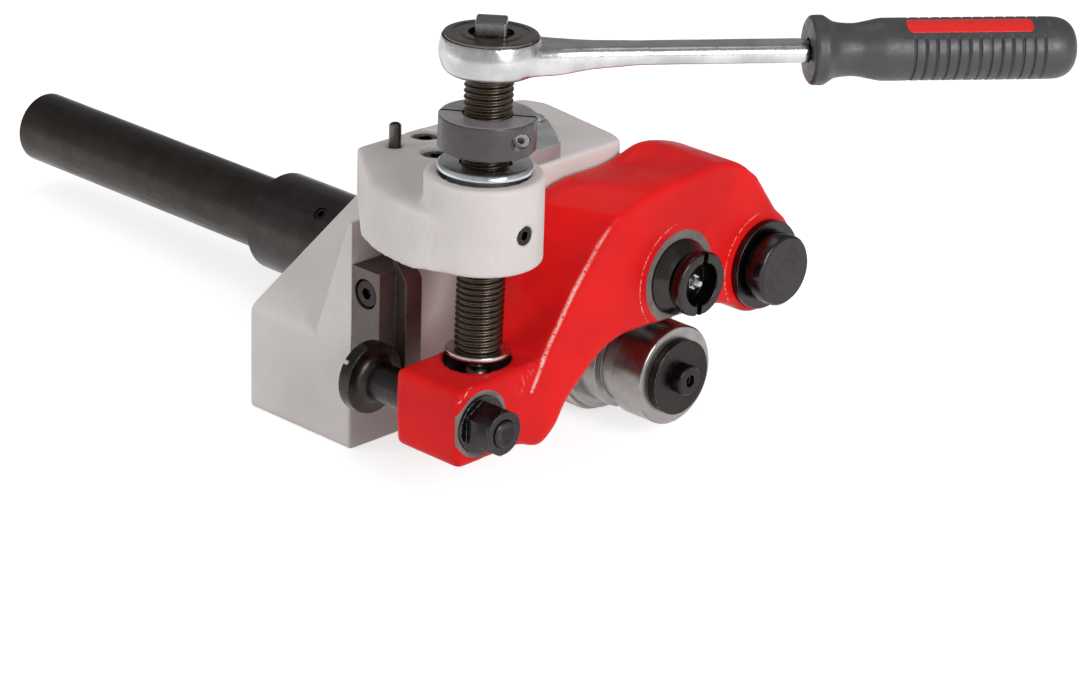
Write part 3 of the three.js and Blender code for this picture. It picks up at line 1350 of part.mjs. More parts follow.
put(machine, piece("drive_shaft", driveShaft(), "steel"));
put(machine, piece("drive_roll", driveRoll(), "steel"));
put(machine, piece("drive_roll_key", driveKey(), "steel"), DRIVE_LINE.x, 0, DRIVE_LINE.z);
put(machine, piece("drive_roll_washer", rollWasher(), "black"), DRIVE_LINE.x, 0, DRIVE_LINE.z);
const rollScrew = piece("drive_roll_screw", socketScrew(ROLL_SCREW), "black");
rollScrew.rotation.x = Math.PI / 2;
const rollScrewY = DRIVE_ROLL.front - GAP * 2 - ROLL_WASHER.thickness - ROLL_SCREW.headHeight;
put(machine, rollScrew, DRIVE_LINE.x, rollScrewY, DRIVE_LINE.z);
put(machine, piece("front_bearing", bearing(FRONT_POCKET_Y, BEARING.frontWidth), "steel"));
put(machine, piece("rear_bearing", bearing(HOUSING_REAR - BEARING.rearWidth, BEARING.rearWidth), "steel"));
put(machine, piece("front_seal", frontSeal(), "rubber"));
put(machine, piece("bearing_cover", bearingCover(), "black"));
coverScrewPlaces().forEach(([x, z], i) => {
  const shape = socketScrew({ ...COVER_SCREW, shank: COVER_SCREW.radius });
  const screw = piece(`bearing_cover_screw_${i + 1}`, shape, "black");
  screw.rotation.x = -Math.PI / 2;
  put(machine, screw, x, coverRear + GAP + COVER_SCREW.headHeight, z);
});
put(machine, piece("drive_coupling", coupling(), "black"));
couplingScrewY.forEach((y, i) => {
  const start = COUPLING.radius - COUPLING_SCREW.length - GAP * 2;
  const screw = piece(`coupling_set_screw_${i + 1}`, setScrew(COUPLING_SCREW, start), "black");
  screw.rotation.y = -radialTurn;
  put(machine, screw, DRIVE_LINE.x, y, DRIVE_LINE.z);
});
put(machine, piece("drive_bar", driveBar(), "black"));

// Everything on the feed line leans with the rocking nut
const feedLine = new THREE.Group();
feedLine.position.z = -TRUNNION.drop;
feedLine.rotation.y = TILT;
machine.add(feedLine);
put(feedLine, piece("rocking_nut", rockingNut(), "zinc"));
put(feedLine, piece("feed_screw", feedScrew(), "dark"));
put(feedLine, piece("thrust_washer", thrustWasher(), "zinc"));
const collar = new THREE.Group();
collar.rotation.z = THREE.MathUtils.degToRad(COLLAR.slitDegrees);
feedLine.add(collar);
["rear", "front"].forEach((end, i) => {
  const half = new THREE.Group();
  half.rotation.z = i * Math.PI;
  collar.add(half);
  put(half, piece(`clamp_collar_${end}`, collarHalf(), "steel"));
  const middle = COLLAR_W + COLLAR.height / 2;
  put(half, piece(`collar_screw_${end}`, collarScrew(), "black"), COLLAR_SCREW.offset, 0, middle);
});
put(feedLine, piece("ratchet_gear", ratchetGear(), "steel"));
put(feedLine, piece("square_drive", squareDrive(), "dark"));
const ratchet = new THREE.Group();
ratchet.rotation.z = THREE.MathUtils.degToRad(RATCHET.turnDegrees);
feedLine.add(ratchet);
put(ratchet, piece("ratchet_body", ratchetBody(), "chrome"));
put(ratchet, piece("ratchet_cover", ratchetCover(), "dark"));
put(ratchet, piece("ratchet_pawl", pawl(), "steel"));
put(ratchet, piece("ratchet_grip", ratchetGrip(), "rubber"));
put(ratchet, piece("grip_inset", gripInset(), "inset"));

machine.position.set(
  -(HOUSING_RIGHT - HOUSING.left) / 2,
  -(HOUSING.front + HOUSING_REAR) / 2,
  HOUSING.base,
);

export default machine;
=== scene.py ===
"""Pipe roll groover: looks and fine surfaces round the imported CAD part. Metres, CAD frame, +Z up."""

import bpy
import bmesh
import json
import math
import numpy as np
from mathutils import Matrix, Vector

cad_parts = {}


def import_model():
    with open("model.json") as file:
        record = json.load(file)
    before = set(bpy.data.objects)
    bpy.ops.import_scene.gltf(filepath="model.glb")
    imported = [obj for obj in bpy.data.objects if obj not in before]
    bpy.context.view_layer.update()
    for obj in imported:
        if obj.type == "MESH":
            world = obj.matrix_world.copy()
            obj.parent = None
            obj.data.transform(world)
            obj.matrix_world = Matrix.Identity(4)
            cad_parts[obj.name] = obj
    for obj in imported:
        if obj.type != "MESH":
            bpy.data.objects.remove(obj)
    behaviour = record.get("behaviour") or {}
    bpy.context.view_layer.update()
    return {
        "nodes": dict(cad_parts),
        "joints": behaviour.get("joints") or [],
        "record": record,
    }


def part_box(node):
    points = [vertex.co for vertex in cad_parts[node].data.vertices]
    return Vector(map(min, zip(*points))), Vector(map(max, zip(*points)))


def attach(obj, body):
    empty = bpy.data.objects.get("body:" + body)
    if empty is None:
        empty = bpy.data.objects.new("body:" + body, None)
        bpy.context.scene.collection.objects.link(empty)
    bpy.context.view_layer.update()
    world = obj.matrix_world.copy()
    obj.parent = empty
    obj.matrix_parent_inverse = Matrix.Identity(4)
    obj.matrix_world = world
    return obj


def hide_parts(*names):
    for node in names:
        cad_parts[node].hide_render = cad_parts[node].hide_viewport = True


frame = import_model()

# Sizes are in metres, or in mm where a name ends in MM. Shares of a size or a tone have no unit.
MM = 0.001

# Copies of the CAD solids: what counts as one point, as flat or as a corner, and how fine their arcs get
WELD, SAME, OFF_AXIS = 1e-6, 4e-6, 2e-5
FLAT_DEGREES, TURN_DEGREES = 0.4, 1
CHORD_DEGREES = (1, 50)
LARGE_ARC_DEGREES, SMALL_ARC_DEGREES = 5, 12
SMALL_RADIUS = 5 * MM

# Faces along an arc have four corners and don't lie across its axis. New points that look the same way, to this
# many digits, are joined.
QUAD, END_FACE, DIRECTION_DIGITS = 4, 0.999, 3

# The least share and length that a division or a rounding up is given
ROUNDING = 1e-6

# Edges below these angles are shaded smooth: on copies, on surfaces turned here and on the thread
SMOOTH_DEGREES, TURNED_SMOOTH_DEGREES, THREAD_SMOOTH_DEGREES = 50, 40, 60

# Looks: how far they round the edges of the red arm, of the grey castings and of the rest
RED_EDGE_MM, GREY_EDGE_MM, PLAIN_EDGE_MM = 1.6, 0.9, 0.35
BEVEL_SAMPLES = 4

# Looks: how a noise is stretched, and the parts of its range that are spread over tones and roughness
EVEN, UPRIGHT, LINES, LENGTHWISE = (1, 1, 1), (1, 1, 0.12), (1, 1, 0.2), (1, 0.06, 1)
USUAL, STAINED, CLOUDED, STREAKED = (0.3, 0.7), (0.3, 0.72), (0.3, 0.75), (0.35, 0.7)
ON_EDGE = (0.05, 0.35)

# Camera of the photograph, solved from its round faces and straight edges: place, directions in the CAD frame,
# lens and sensor in mm
CAMERA_PLACE = (-1.1187, -1.1269, 0.6674)
CAMERA_RIGHT = (0.7007, -0.7128, 0.0288)
CAMERA_UP = (0.2528, 0.2858, 0.9243)
CAMERA_BACK = (-0.6671, -0.6405, 0.3805)
CAMERA_LENS = 129.41
SENSOR = 36

X, Y, Z = Vector((1, 0, 0)), Vector((0, 1, 0)), Vector((0, 0, 1))
joints = {joint["name"]: joint for joint in frame["joints"]}
slots = {part["node"]: part["material_slot"] for part in frame["record"]["subparts"]}
bodies = {node: body for body, nodes in frame["record"]["behaviour"]["bodies"].items() for node in nodes}


def joint_place(name):
    return Vector(joints[name]["pos_m"])


def middle(node):
    low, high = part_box(node)
    return (low + high) / 2


# Lines that the round pieces turn on. The handle's turn and rise are read from the photo.
FEED_AXIS = Vector(joints["screw_feed"]["axis"]).normalized()
FEED = (joint_place("nut_rock"), FEED_AXIS)
BOSS = (joint_place("nut_rock"), Z)
PIVOT = (joint_place("arm_swing"), Y)
ROLL = (joint_place("groove_roll_spin"), Y)
DRIVE = (joint_place("drive_spin"), Y)
GUIDE = (middle("guide_nut"), Y)
LUG = (middle("swivel_seat"), Z)
HANDLE_DEGREES = -35.2
HANDLE_RISE = 70.25 * MM
TILT = Matrix.Rotation(math.atan2(FEED_AXIS.x, FEED_AXIS.z), 3, "Y")
HANDLE_AXIS = TILT @ (Matrix.Rotation(math.radians(HANDLE_DEGREES), 3, "Z") @ X)
HANDLE = (FEED[0] + FEED_AXIS * HANDLE_RISE, HANDLE_AXIS)


# Shader nodes: a short way to add and link them
def add(tree, kind, inputs=(), **settings):
    """A new shader node; an input is linked to another node's output or set to a plain value"""
    made = tree.nodes.new("ShaderNode" + kind)
    for key, value in settings.items():
        setattr(made, key, value)
    for key, value in dict(inputs).items():
        socket = made.inputs[key]
        if isinstance(value, bpy.types.NodeSocket):
            tree.links.new(value, socket)
        else:
            socket.default_value = value
    return made


def maths(tree, operation, a, b=0.0):
    return add(tree, "Math", {0: a, 1: b}, operation=operation).outputs[0]


def product(tree, a, b):
    return maths(tree, "MULTIPLY", a, b)


def most(tree, values):
    """The largest of several values"""
    first, *others = values
    for value in others:
        first = maths(tree, "MAXIMUM", first, value)
    return first


def vectors(tree, operation, a, b=(0, 0, 0)):
    made = add(tree, "VectorMath", {0: a, 1: b}, operation=operation)
    return made.outputs["Value" if operation in ("DOT_PRODUCT", "DISTANCE") else "Vector"]


def scaled(tree, direction, length):
    return add(tree, "VectorMath", {0: direction, "Scale": length}, operation="SCALE").outputs["Vector"]


def ranged(tree, value, span, to=(0.0, 1.0)):
    """Goes smoothly from the first of `to` to the second while the value crosses the span"""
    inputs = {"Value": value, "From Min": span[0], "From Max": span[1], "To Min": to[0], "To Max": to[1]}
    return add(tree, "MapRange", inputs, interpolation_type="SMOOTHSTEP").outputs["Result"]


def mixed(tree, share, a, b):
    """Colour a with the share of colour b; sockets 6, 7 and 2 of a Mix node are its colours"""
    return add(tree, "Mix", {0: share, 6: a, 7: b}, data_type="RGBA").outputs[2]


def here(tree):
    """The shaded point in its piece's coordinates, which at rest are the CAD frame's"""
    return add(tree, "TexCoord").outputs["Object"]


def noise(tree, grain_mm, stretch=EVEN, detail=3.0, rough=0.55):
    spread = add(tree, "Mapping", {"Vector": here(tree), "Scale": stretch}).outputs["Vector"]
    inputs = {"Vector": spread, "Scale": 1 / (grain_mm * MM), "Detail": detail, "Roughness": rough}
    return add(tree, "TexNoise", inputs).outputs["Fac"]


def edges(tree, radius_mm):
    """How far the surface turns within the radius: 0 on a flat face, up to 1 on an edge"""
    soft = add(tree, "Bevel", {"Radius": radius_mm * MM}, samples=BEVEL_SAMPLES).outputs["Normal"]
    true = add(tree, "NewGeometry").outputs["Normal"]
    return maths(tree, "SUBTRACT", 1.0, vectors(tree, "DOT_PRODUCT", soft, true))


def about(tree, axis):
    """The shaded point's distance from an axis and its height along it"""
    point, direction = axis
    offset = vectors(tree, "SUBTRACT", here(tree), point)
    height = vectors(tree, "DOT_PRODUCT", offset, direction)
    return vectors(tree, "DISTANCE", offset, scaled(tree, direction, height)), height


def near_axis(tree, axis, radius_mm, reach_mm):
    """1 out to the radius round the axis, falling to 0 at the reach outside it"""
    distance, _ = about(tree, axis)
    return ranged(tree, distance, (radius_mm * MM, (radius_mm + reach_mm) * MM), (1.0, 0.0))


def near_line(tree, start, end, reach_mm):
    """1 on the line from start to end, falling to 0 at the reach"""
    along = (end - start).normalized()
    offset = vectors(tree, "SUBTRACT", here(tree), start)
    reached = maths(tree, "MINIMUM", vectors(tree, "DOT_PRODUCT", offset, along), (end - start).length)
    foot = scaled(tree, along, maths(tree, "MAXIMUM", reached, 0.0))
    return ranged(tree, vectors(tree, "DISTANCE", offset, foot), (0.0, reach_mm * MM), (1.0, 0.0))


def ring_arc(tree, axis, radius_mm, half_mm, toward):
    """1 on a circle round the axis, only on its side that looks the given way"""
    outer = near_axis(tree, axis, radius_mm, half_mm)
    inner = near_axis(tree, axis, radius_mm - half_mm, half_mm)
    offset = vectors(tree, "NORMALIZE", vectors(tree, "SUBTRACT", here(tree), axis[0]))
    side = ranged(tree, vectors(tree, "DOT_PRODUCT", offset, toward), ARC_FADE)
    return product(tree, maths(tree, "SUBTRACT", outer, inner), side)


def bumped(tree, heights, soften_mm=PLAIN_EDGE_MM):
    """Normal from several (height, strength, depth in mm) on top of slightly rounded edges"""
    normal = add(tree, "Bevel", {"Radius": soften_mm * MM}, samples=BEVEL_SAMPLES).outputs["Normal"]
    for height, strength, depth_mm in heights:
        inputs = {"Height": height, "Strength": strength, "Distance": depth_mm * MM, "Normal": normal}
        normal = add(tree, "Bump", inputs).outputs["Normal"]
    return normal


def colour(r, g, b):
    return (r, g, b, 1.0)


def shaded(c, share):
    return colour(*(v * share for v in c[:3]))


def material(name, base, rough, normal, **fixed):
    """A principled material from base, roughness and normal functions of its tree and fixed values"""
    made = bpy.data.materials.new(name)
    made.use_nodes = True
    tree = made.node_tree
    shader = tree.nodes["Principled BSDF"]
    for key, value in fixed.items():
        shader.inputs[key.replace("_", " ")].default_value = value
    for key, maker in (("Base Color", base), ("Roughness", rough), ("Normal", normal)):
        tree.links.new(maker(tree), shader.inputs[key])
    return made


# Finishes
def grey_casting():
    light, dark, soot_and_shade = colour(0.70, 0.655, 0.635), colour(0.63, 0.585, 0.565), colour(0.2, 0.17, 0.155)
    cloud_mm, grain_mm, speck_mm, edge_shade_mm, sheen_mm, lump_mm, corner_mm = 34, 1.3, 0.7, 3, 2.5, 7, 1.2
    streaks, specks, wear = 0.3, 0.25, 0.15
    speck_span, edge_shade_span, rough_range = (0.7, 0.78), (0.45, 0.62), (0.46, 0.6)
    lump_bump, grain_bump = (0.15, 0.4), (0.22, 0.1)

    def grain(tree):
        return noise(tree, grain_mm, UPRIGHT, detail=4)

    def base(tree):
        cloud = ranged(tree, noise(tree, cloud_mm), CLOUDED)
        streak = ranged(tree, grain(tree), STREAKED, (0, streaks))
        speck = ranged(tree, noise(tree, speck_mm, detail=1), speck_span, (0, specks))
        # Painted shade with some soot: edges and creases take the soot tone, broken by noise; the specks above
        # are real soot and pits
        corner = ranged(tree, edges(tree, corner_mm), ON_EDGE, (0, wear))
        marks_and_painted_light = product(tree, corner, ranged(tree, noise(tree, edge_shade_mm), edge_shade_span))
        cast = mixed(tree, streak, mixed(tree, cloud, light, dark), dark)
        return mixed(tree, marks_and_painted_light, mixed(tree, speck, cast, soot_and_shade), soot_and_shade)

    def rough(tree):
        return ranged(tree, noise(tree, sheen_mm), USUAL, rough_range)

    def normal(tree):
        heights = [(noise(tree, lump_mm), *lump_bump), (grain(tree), *grain_bump)]
        return bumped(tree, heights, GREY_EDGE_MM)

    return material("cast_grey", base, rough, normal, Specular_IOR_Level=0.3)


# Marks on the arm: its worn ridge from the lug upwards, a patch of scratches, milled spot faces (axis, radius
# and fade), the seat's recess in the lug, painted near black, and arcs of painted highlight (axis and radius) on
# the lit side of the hubs' step edges. Spots and arcs fade out between two depths behind the arm's front.
ARM_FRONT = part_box("arm")[0].y
RIDGE_XZ_MM = ((-71.0, 48.7), (-61.2, 66.2), (-47.6, 86.2), (-34.4, 102.6), (-27.5, 109.0))
RIDGE_BEHIND_MM, RIDGE_HALF_MM = 0.4, 1.6
RIDGE = [Vector((x * MM, ARM_FRONT + RIDGE_BEHIND_MM * MM, z * MM)) for x, z in RIDGE_XZ_MM]
PATCH_XZ_MM, PATCH_HALF_MM = ((-77.5, 52.0), (-69.5, 60.5)), 4.5
PATCH = [Vector((x * MM, ARM_FRONT, z * MM)) for x, z in PATCH_XZ_MM]
SPOTS_MM = ((ROLL, 20.35, 0.1), (GUIDE, 14.2, 0.25))
RECESS_MM, RECESS_FADE_MM, RECESS_DEEP_MM = 14.0, 0.3, 6.0
HIGHLIGHT_ARCS_MM = ((ROLL, 24.2), (PIVOT, 23.6), (GUIDE, 17.2))
ARC_HALF_MM = 0.45
ARC_LIT_SIDE, ARC_FADE = Vector((-0.94, 0, 0.34)), (0.25, 0.6)
FRONT_MM = (1.7, 2.1)


def red_paint():
    red, deep = colour(0.80, 0.0105, 0.0105), colour(0.66, 0.009, 0.0105)
    bare_and_highlight, milled, recess_dark = colour(0.88, 0.56, 0.5), colour(0.23, 0.2, 0.185), colour(0.035, 0.028, 0.027)
    cloud_mm, torn_mm, line_mm, broken_mm, chip_mm, oil_mm, sheen_mm = 35, 1.1, 0.55, 1.5, 2.2, 5, 5
    lump_mm, grain_mm, corner_mm = 11, 1.8, 1.0
    scratches, arc_highlight, chipped, oil_dark, worn_rough = 0.5, 0.75, 0.4, 0.7, 0.6
    torn_span, line_span, broken_span = (0.36, 0.52), (0.6, 0.68), (0.42, 0.6)
    corner_span, chip_span, rough_range = (0.12, 0.4), (0.6, 0.7), (0.3, 0.4)
    lump_bump, grain_bump, scuff_bump = (0.2, 0.5), (0.1, 0.08), (0.3, -0.1)

    def scuff(tree):
        band = most(tree, [near_line(tree, a, b, RIDGE_HALF_MM) for a, b in zip(RIDGE, RIDGE[1:])])
        torn = ranged(tree, noise(tree, torn_mm, detail=5), torn_span)
        lines = ranged(tree, noise(tree, line_mm, LINES, detail=3), line_span, (0, scratches))
        cluster = product(tree, near_line(tree, *PATCH, PATCH_HALF_MM), lines)
        return maths(tree, "MAXIMUM", product(tree, band, torn), cluster)

    def on_front(tree, value):
        across = vectors(tree, "DOT_PRODUCT", here(tree), Y)
        near, far = (ARM_FRONT + depth * MM for depth in FRONT_MM)
        return product(tree, value, ranged(tree, across, (near, far), (1.0, 0.0)))

    def spots(tree):
        return on_front(tree, most(tree, [near_axis(tree, *spot) for spot in SPOTS_MM]))

    # The inside of the lug's recess is painted near black
    def recess(tree):
        height = vectors(tree, "DOT_PRODUCT", here(tree), Z)
        low = LUG[0].z - RECESS_DEEP_MM * MM
        inside = near_axis(tree, LUG, RECESS_MM, RECESS_FADE_MM)
        return product(tree, inside, ranged(tree, height, (low - MM, low)))

    # Painted highlights: thin pale arcs on one side of the hubs' step edges, where light catches them
    def arcs(tree):
        rings = most(tree, [ring_arc(tree, axis, radius, ARC_HALF_MM, ARC_LIT_SIDE) for axis, radius in HIGHLIGHT_ARCS_MM])
        broken = ranged(tree, noise(tree, broken_mm, detail=4), broken_span, (0, arc_highlight))
        return on_front(tree, product(tree, rings, broken))

    def base(tree):
        painted = mixed(tree, ranged(tree, noise(tree, cloud_mm), STAINED), red, deep)
        corner = ranged(tree, edges(tree, corner_mm), corner_span)
        chips = product(tree, corner, ranged(tree, noise(tree, chip_mm), chip_span))
        # The pale tone covers real wear, the ridge's scuff and the chipped corners, and also the painted
        # highlight arcs
        marks_and_painted_light = most(tree, [scuff(tree), arcs(tree), product(tree, chips, chipped)])
        oiled = mixed(tree, ranged(tree, noise(tree, oil_mm), CLOUDED), milled, shaded(milled, oil_dark))
        outside = mixed(tree, spots(tree), mixed(tree, marks_and_painted_light, painted, bare_and_highlight), oiled)
        return mixed(tree, recess(tree), outside, recess_dark)

    def rough(tree):
        plain = ranged(tree, noise(tree, sheen_mm), USUAL, rough_range)
        return maths(tree, "MAXIMUM", plain, product(tree, scuff(tree), worn_rough))

    def normal(tree):
        lumps, fine = (noise(tree, lump_mm), *lump_bump), (noise(tree, grain_mm), *grain_bump)
        return bumped(tree, [lumps, fine, (scuff(tree), *scuff_bump)], RED_EDGE_MM)

    return material(
        "enamel_red", base, rough, normal, Specular_IOR_Level=0.1, Coat_Weight=0.03, Coat_Roughness=0.15
    )


def metal(name, tone, rough_range, wear=0.5, bright=colour(0.42, 0.4, 0.38), scratch=0.1, dents=0.04,
          metallic=1.0, stretch=EVEN, grain_mm=2.0):
    """Steel of one tone: slow stain, fine grain, rubbed edges and thin scratches"""
    stain_mm, corner_mm, broken_mm, dent_mm = 14, 0.7, 1.6, 3.5
    stain_dark, scratch_deep_mm, dent_deep_mm = 0.72, 0.05, 0.12
    broken_span, scratch_span, scratch_rough = (0.38, 0.62), (0.52, 0.68), 0.7

    def base(tree):
        body = mixed(tree, ranged(tree, noise(tree, stain_mm), STAINED), tone, shaded(tone, stain_dark))
        rubbed = ranged(tree, edges(tree, corner_mm), ON_EDGE)
        broken = ranged(tree, noise(tree, broken_mm), broken_span)
        return mixed(tree, product(tree, product(tree, rubbed, broken), wear), body, bright)

    def rough(tree):
        return ranged(tree, noise(tree, grain_mm, stretch), USUAL, rough_range)

    def normal(tree):
        fine = noise(tree, grain_mm, stretch, detail=5, rough=scratch_rough)
        scratches = (ranged(tree, fine, scratch_span), scratch, scratch_deep_mm)
        return bumped(tree, [scratches, (noise(tree, dent_mm), dents, dent_deep_mm)])

    return material(name, base, rough, normal, Metallic=metallic)


def turned(name, tone, rough_range, axis, pitch_mm=0.35, wear=0.4, metallic=1.0, slit=None, painted_light_tone=None):
    """Steel with fine tool rings about an axis. A painted light tone is painted on the faces across the axis,
    lighter than the sides as light falls on them, and a slit is given by a direction: it is dark and lies in the
    plane through the axis that the direction stands on."""
    stain_mm, corner_mm, dent_mm, streaks = 9, 0.6, 2.5, 0.4
    stain_dark, streak_bright, edge_bright, slit_dark = 0.75, 1.25, 1.7, 0.06
    end_light_span, ring_bump, dent_bump = (0.7, 0.9), (0.22, 0.05), (0.06, 0.06)
    point, direction = axis

    def rings(tree):
        out, height = about(tree, axis)
        both = add(tree, "CombineXYZ", {"X": out, "Y": height}).outputs["Vector"]
        inputs = {"Vector": both, "Scale": 1 / (pitch_mm * MM), "Detail": 2.0}
        return add(tree, "TexNoise", inputs).outputs["Fac"]

    def streaked(tree, c):
        body = mixed(tree, ranged(tree, noise(tree, stain_mm), STAINED), c, shaded(c, stain_dark))
        return mixed(tree, ranged(tree, rings(tree), STREAKED, (0, streaks)), body, shaded(c, streak_bright))

    def base(tree):
        body = streaked(tree, tone)
        # Painted light: the faces across the axis get the lighter tone, the sides keep the darker one
        if painted_light_tone is not None:
            along = vectors(tree, "DOT_PRODUCT", add(tree, "TexCoord").outputs["Normal"], direction)
            end_light_share = ranged(tree, maths(tree, "ABSOLUTE", along), end_light_span)
            body = mixed(tree, end_light_share, body, streaked(tree, painted_light_tone))
        share = product(tree, ranged(tree, edges(tree, corner_mm), ON_EDGE), wear)
        rubbed = mixed(tree, share, body, shaded(tone, edge_bright))
        if slit is None:
            return rubbed
        offset = vectors(tree, "SUBTRACT", here(tree), point)
        away = maths(tree, "ABSOLUTE", vectors(tree, "DOT_PRODUCT", offset, slit))
        inside = ranged(tree, away, (SLIT_MM * MM, (SLIT_MM + SLIT_FADE_MM) * MM), (1.0, 0.0))
        return mixed(tree, inside, rubbed, shaded(tone, slit_dark))

    def rough(tree):
        return ranged(tree, rings(tree), USUAL, rough_range)

    def normal(tree):
        return bumped(tree, [(rings(tree), *ring_bump), (noise(tree, dent_mm), *dent_bump)])

    return material(name, base, rough, normal, Metallic=metallic)


def plastic(name, tone, rough_range, grain_mm, depth_mm, strength, dust=0.5):
    """Moulded plastic or rubber of one tone, with a fine grain and a little dust"""
    dust_mm, sheen_mm, dust_span, dusted = 8, 3, (0.4, 0.75), 1.5

    def base(tree):
        dusty = ranged(tree, noise(tree, dust_mm), dust_span, (0, dust))
        return mixed(tree, dusty, tone, shaded(tone, dusted))

    def rough(tree):
        return ranged(tree, noise(tree, sheen_mm), USUAL, rough_range)

    def normal(tree):
        return bumped(tree, [(noise(tree, grain_mm, detail=1), strength, depth_mm)])

    return material(name, base, rough, normal)


# Where a copy turns or is mirrored to agree with the photo: the square drive, which also sinks a little to stay
# inside the CAD's box, the spindle's slot, and the clamp collar with the lines of its screws and their holes
STUB_TURN_DEGREES, STUB_SINK = 42, 0.06 * MM
SPINDLE_TURN_DEGREES = 97
COLLAR_DEGREES, COLLAR_RISE = -52.8, 38.3 * MM
COLLAR_ALONG = TILT @ (Matrix.Rotation(math.radians(COLLAR_DEGREES), 3, "Z") @ X)
COLLAR_ACROSS = FEED_AXIS.cross(COLLAR_ALONG)
COLLAR_MIDDLE = FEED[0] + FEED_AXIS * COLLAR_RISE
COLLAR_SCREW_OUT, COLLAR_HOLE = 14.9 * MM, 4 * MM
COLLAR_LINES = [
    (COLLAR_MIDDLE + COLLAR_ALONG * COLLAR_SCREW_OUT * side, COLLAR_ACROSS, COLLAR_HOLE) for side in (1, -1)
]
SLIT_MM, SLIT_FADE_MM = 0.75, 0.25

BLACK, BROWN = colour(0.042, 0.037, 0.036), colour(0.115, 0.088, 0.07)
STEEL, ZINC, OLD_ZINC = colour(0.34, 0.325, 0.315), colour(0.60, 0.63, 0.65), colour(0.47, 0.49, 0.5)
# Painted light and shade on the clamp collar: a dark tone for its sides and a much lighter one for its ends
# across the axis, standing in for the dark and the light room that they show
COLLAR_SIDE_PAINTED_SHADE, COLLAR_END_PAINTED_LIGHT = colour(0.08, 0.071, 0.07), colour(0.45, 0.42, 0.44)
COLLAR_SCREW = colour(0.3, 0.29, 0.285)
finishes = {
    "grey_casting": grey_casting(),
    "red_paint": red_paint(),
    "black_steel": metal("black_oxide", BLACK, (0.24, 0.42)),
    "spring_steel": metal("spring_dark", colour(0.14, 0.125, 0.12), (0.22, 0.36)),
    "zinc": metal("zinc_bright", ZINC, (0.16, 0.32), wear=0.2, bright=colour(0.75, 0.77, 0.78), dents=0.05),
    "brown_steel": metal("oiled_steel", BROWN, (0.24, 0.42)),
    "bright_steel": metal("ground_steel", STEEL, (0.2, 0.36)),
    "bronze": metal("bearing_bronze", colour(0.5, 0.3, 0.12), (0.25, 0.4), bright=colour(0.6, 0.4, 0.2)),
    "seal_rubber": plastic("rubber_black", colour(0.03, 0.03, 0.03), (0.6, 0.8), 0.5, 0.05, 0.2),
    "chrome": metal("satin_chrome", colour(0.62, 0.61, 0.61), (0.2, 0.29), wear=0.1,
                    bright=colour(0.85, 0.85, 0.86), scratch=0.03, dents=0.02),
    "grip_plastic": plastic("grip_black", colour(0.047, 0.046, 0.05), (0.36, 0.5), 0.45, 0.06, 0.2),
    "red_inset": plastic("inset_red", colour(0.74, 0.014, 0.012), (0.24, 0.32), 6.0, 0.02, 0.05, dust=0.0),
}
own_finishes = {
    "drive_bar": metal("bar_black", colour(0.062, 0.053, 0.048), (0.26, 0.44), wear=0.2, scratch=0.12,
                       stretch=LENGTHWISE, grain_mm=1.2),
    "drive_coupling": turned("coupling_turned", colour(0.068, 0.057, 0.055), (0.24, 0.38), DRIVE, 0.5, 0.5),
    "pivot_cap": turned("cap_turned", colour(0.06, 0.052, 0.053), (0.2, 0.3), PIVOT, 0.4),
    "groove_roll_spindle": turned("spindle_turned", colour(0.052, 0.047, 0.046), (0.16, 0.3), ROLL, 0.4),
    "drive_roll": turned("drive_roll_turned", STEEL, (0.24, 0.36), DRIVE, 0.4, 0.6),
    "groove_roll": turned("groove_roll_turned", STEEL, (0.24, 0.36), ROLL, 0.4, 0.6),
    "guide_bolt": metal("bolt_black", colour(0.052, 0.046, 0.045), (0.26, 0.4), scratch=0.03, dents=0.015),
    "depth_gauge": metal("gauge_zinc", OLD_ZINC, (0.34, 0.48), wear=0.3, scratch=0.05, metallic=0.45),
    "gauge_screw": metal("gauge_screw_zinc", OLD_ZINC, (0.3, 0.44), wear=0.3, scratch=0.05, metallic=0.6),
    "guide_block": metal("block_oiled", colour(0.12, 0.095, 0.085), (0.3, 0.42), scratch=0.05, dents=0.02,
                         metallic=0.6),
    "rocking_nut": turned("nut_zinc_turned", ZINC, (0.12, 0.26), FEED, 0.3, 0.3),
    "thrust_washer": turned("washer_turned", colour(0.52, 0.5, 0.48), (0.18, 0.3), FEED, 0.3, 0.3),
    "ratchet_cover": turned("cover_turned", colour(0.15, 0.127, 0.112), (0.2, 0.32), FEED, 0.4, 0.7),
    "square_drive": metal("stub_grey", colour(0.19, 0.18, 0.185), (0.24, 0.38), wear=0.5, scratch=0.15),
    "guide_nut": metal("nut_black", colour(0.055, 0.05, 0.05), (0.22, 0.36), wear=0.6),
}
for half in ("front", "rear"):
    own_finishes["clamp_collar_" + half] = turned(
        "collar_" + half, COLLAR_SIDE_PAINTED_SHADE, (0.26, 0.4), FEED, 0.3, 0.9, 0.5, COLLAR_ACROSS, COLLAR_END_PAINTED_LIGHT
    )
    own_finishes["collar_screw_" + half] = metal("screw_bright_" + half, COLLAR_SCREW, (0.2, 0.32))


# Objects and meshes: short ways to make, read and set them
def linked(name, data):
    """A new object in the scene"""
    made = bpy.data.objects.new(name, data)
    bpy.context.scene.collection.objects.link(made)
    return made


def new_mesh(name, points, faces):
    made = bpy.data.meshes.new(name)
    made.from_pydata([tuple(p) for p in points], [], faces)
    return made


def points_of(mesh):
    points = np.empty(len(mesh.vertices) * 3)
    mesh.vertices.foreach_get("co", points)
    return points.reshape(-1, 3)


def set_points(mesh, points):
    mesh.vertices.foreach_set("co", points.ravel())
    mesh.update()


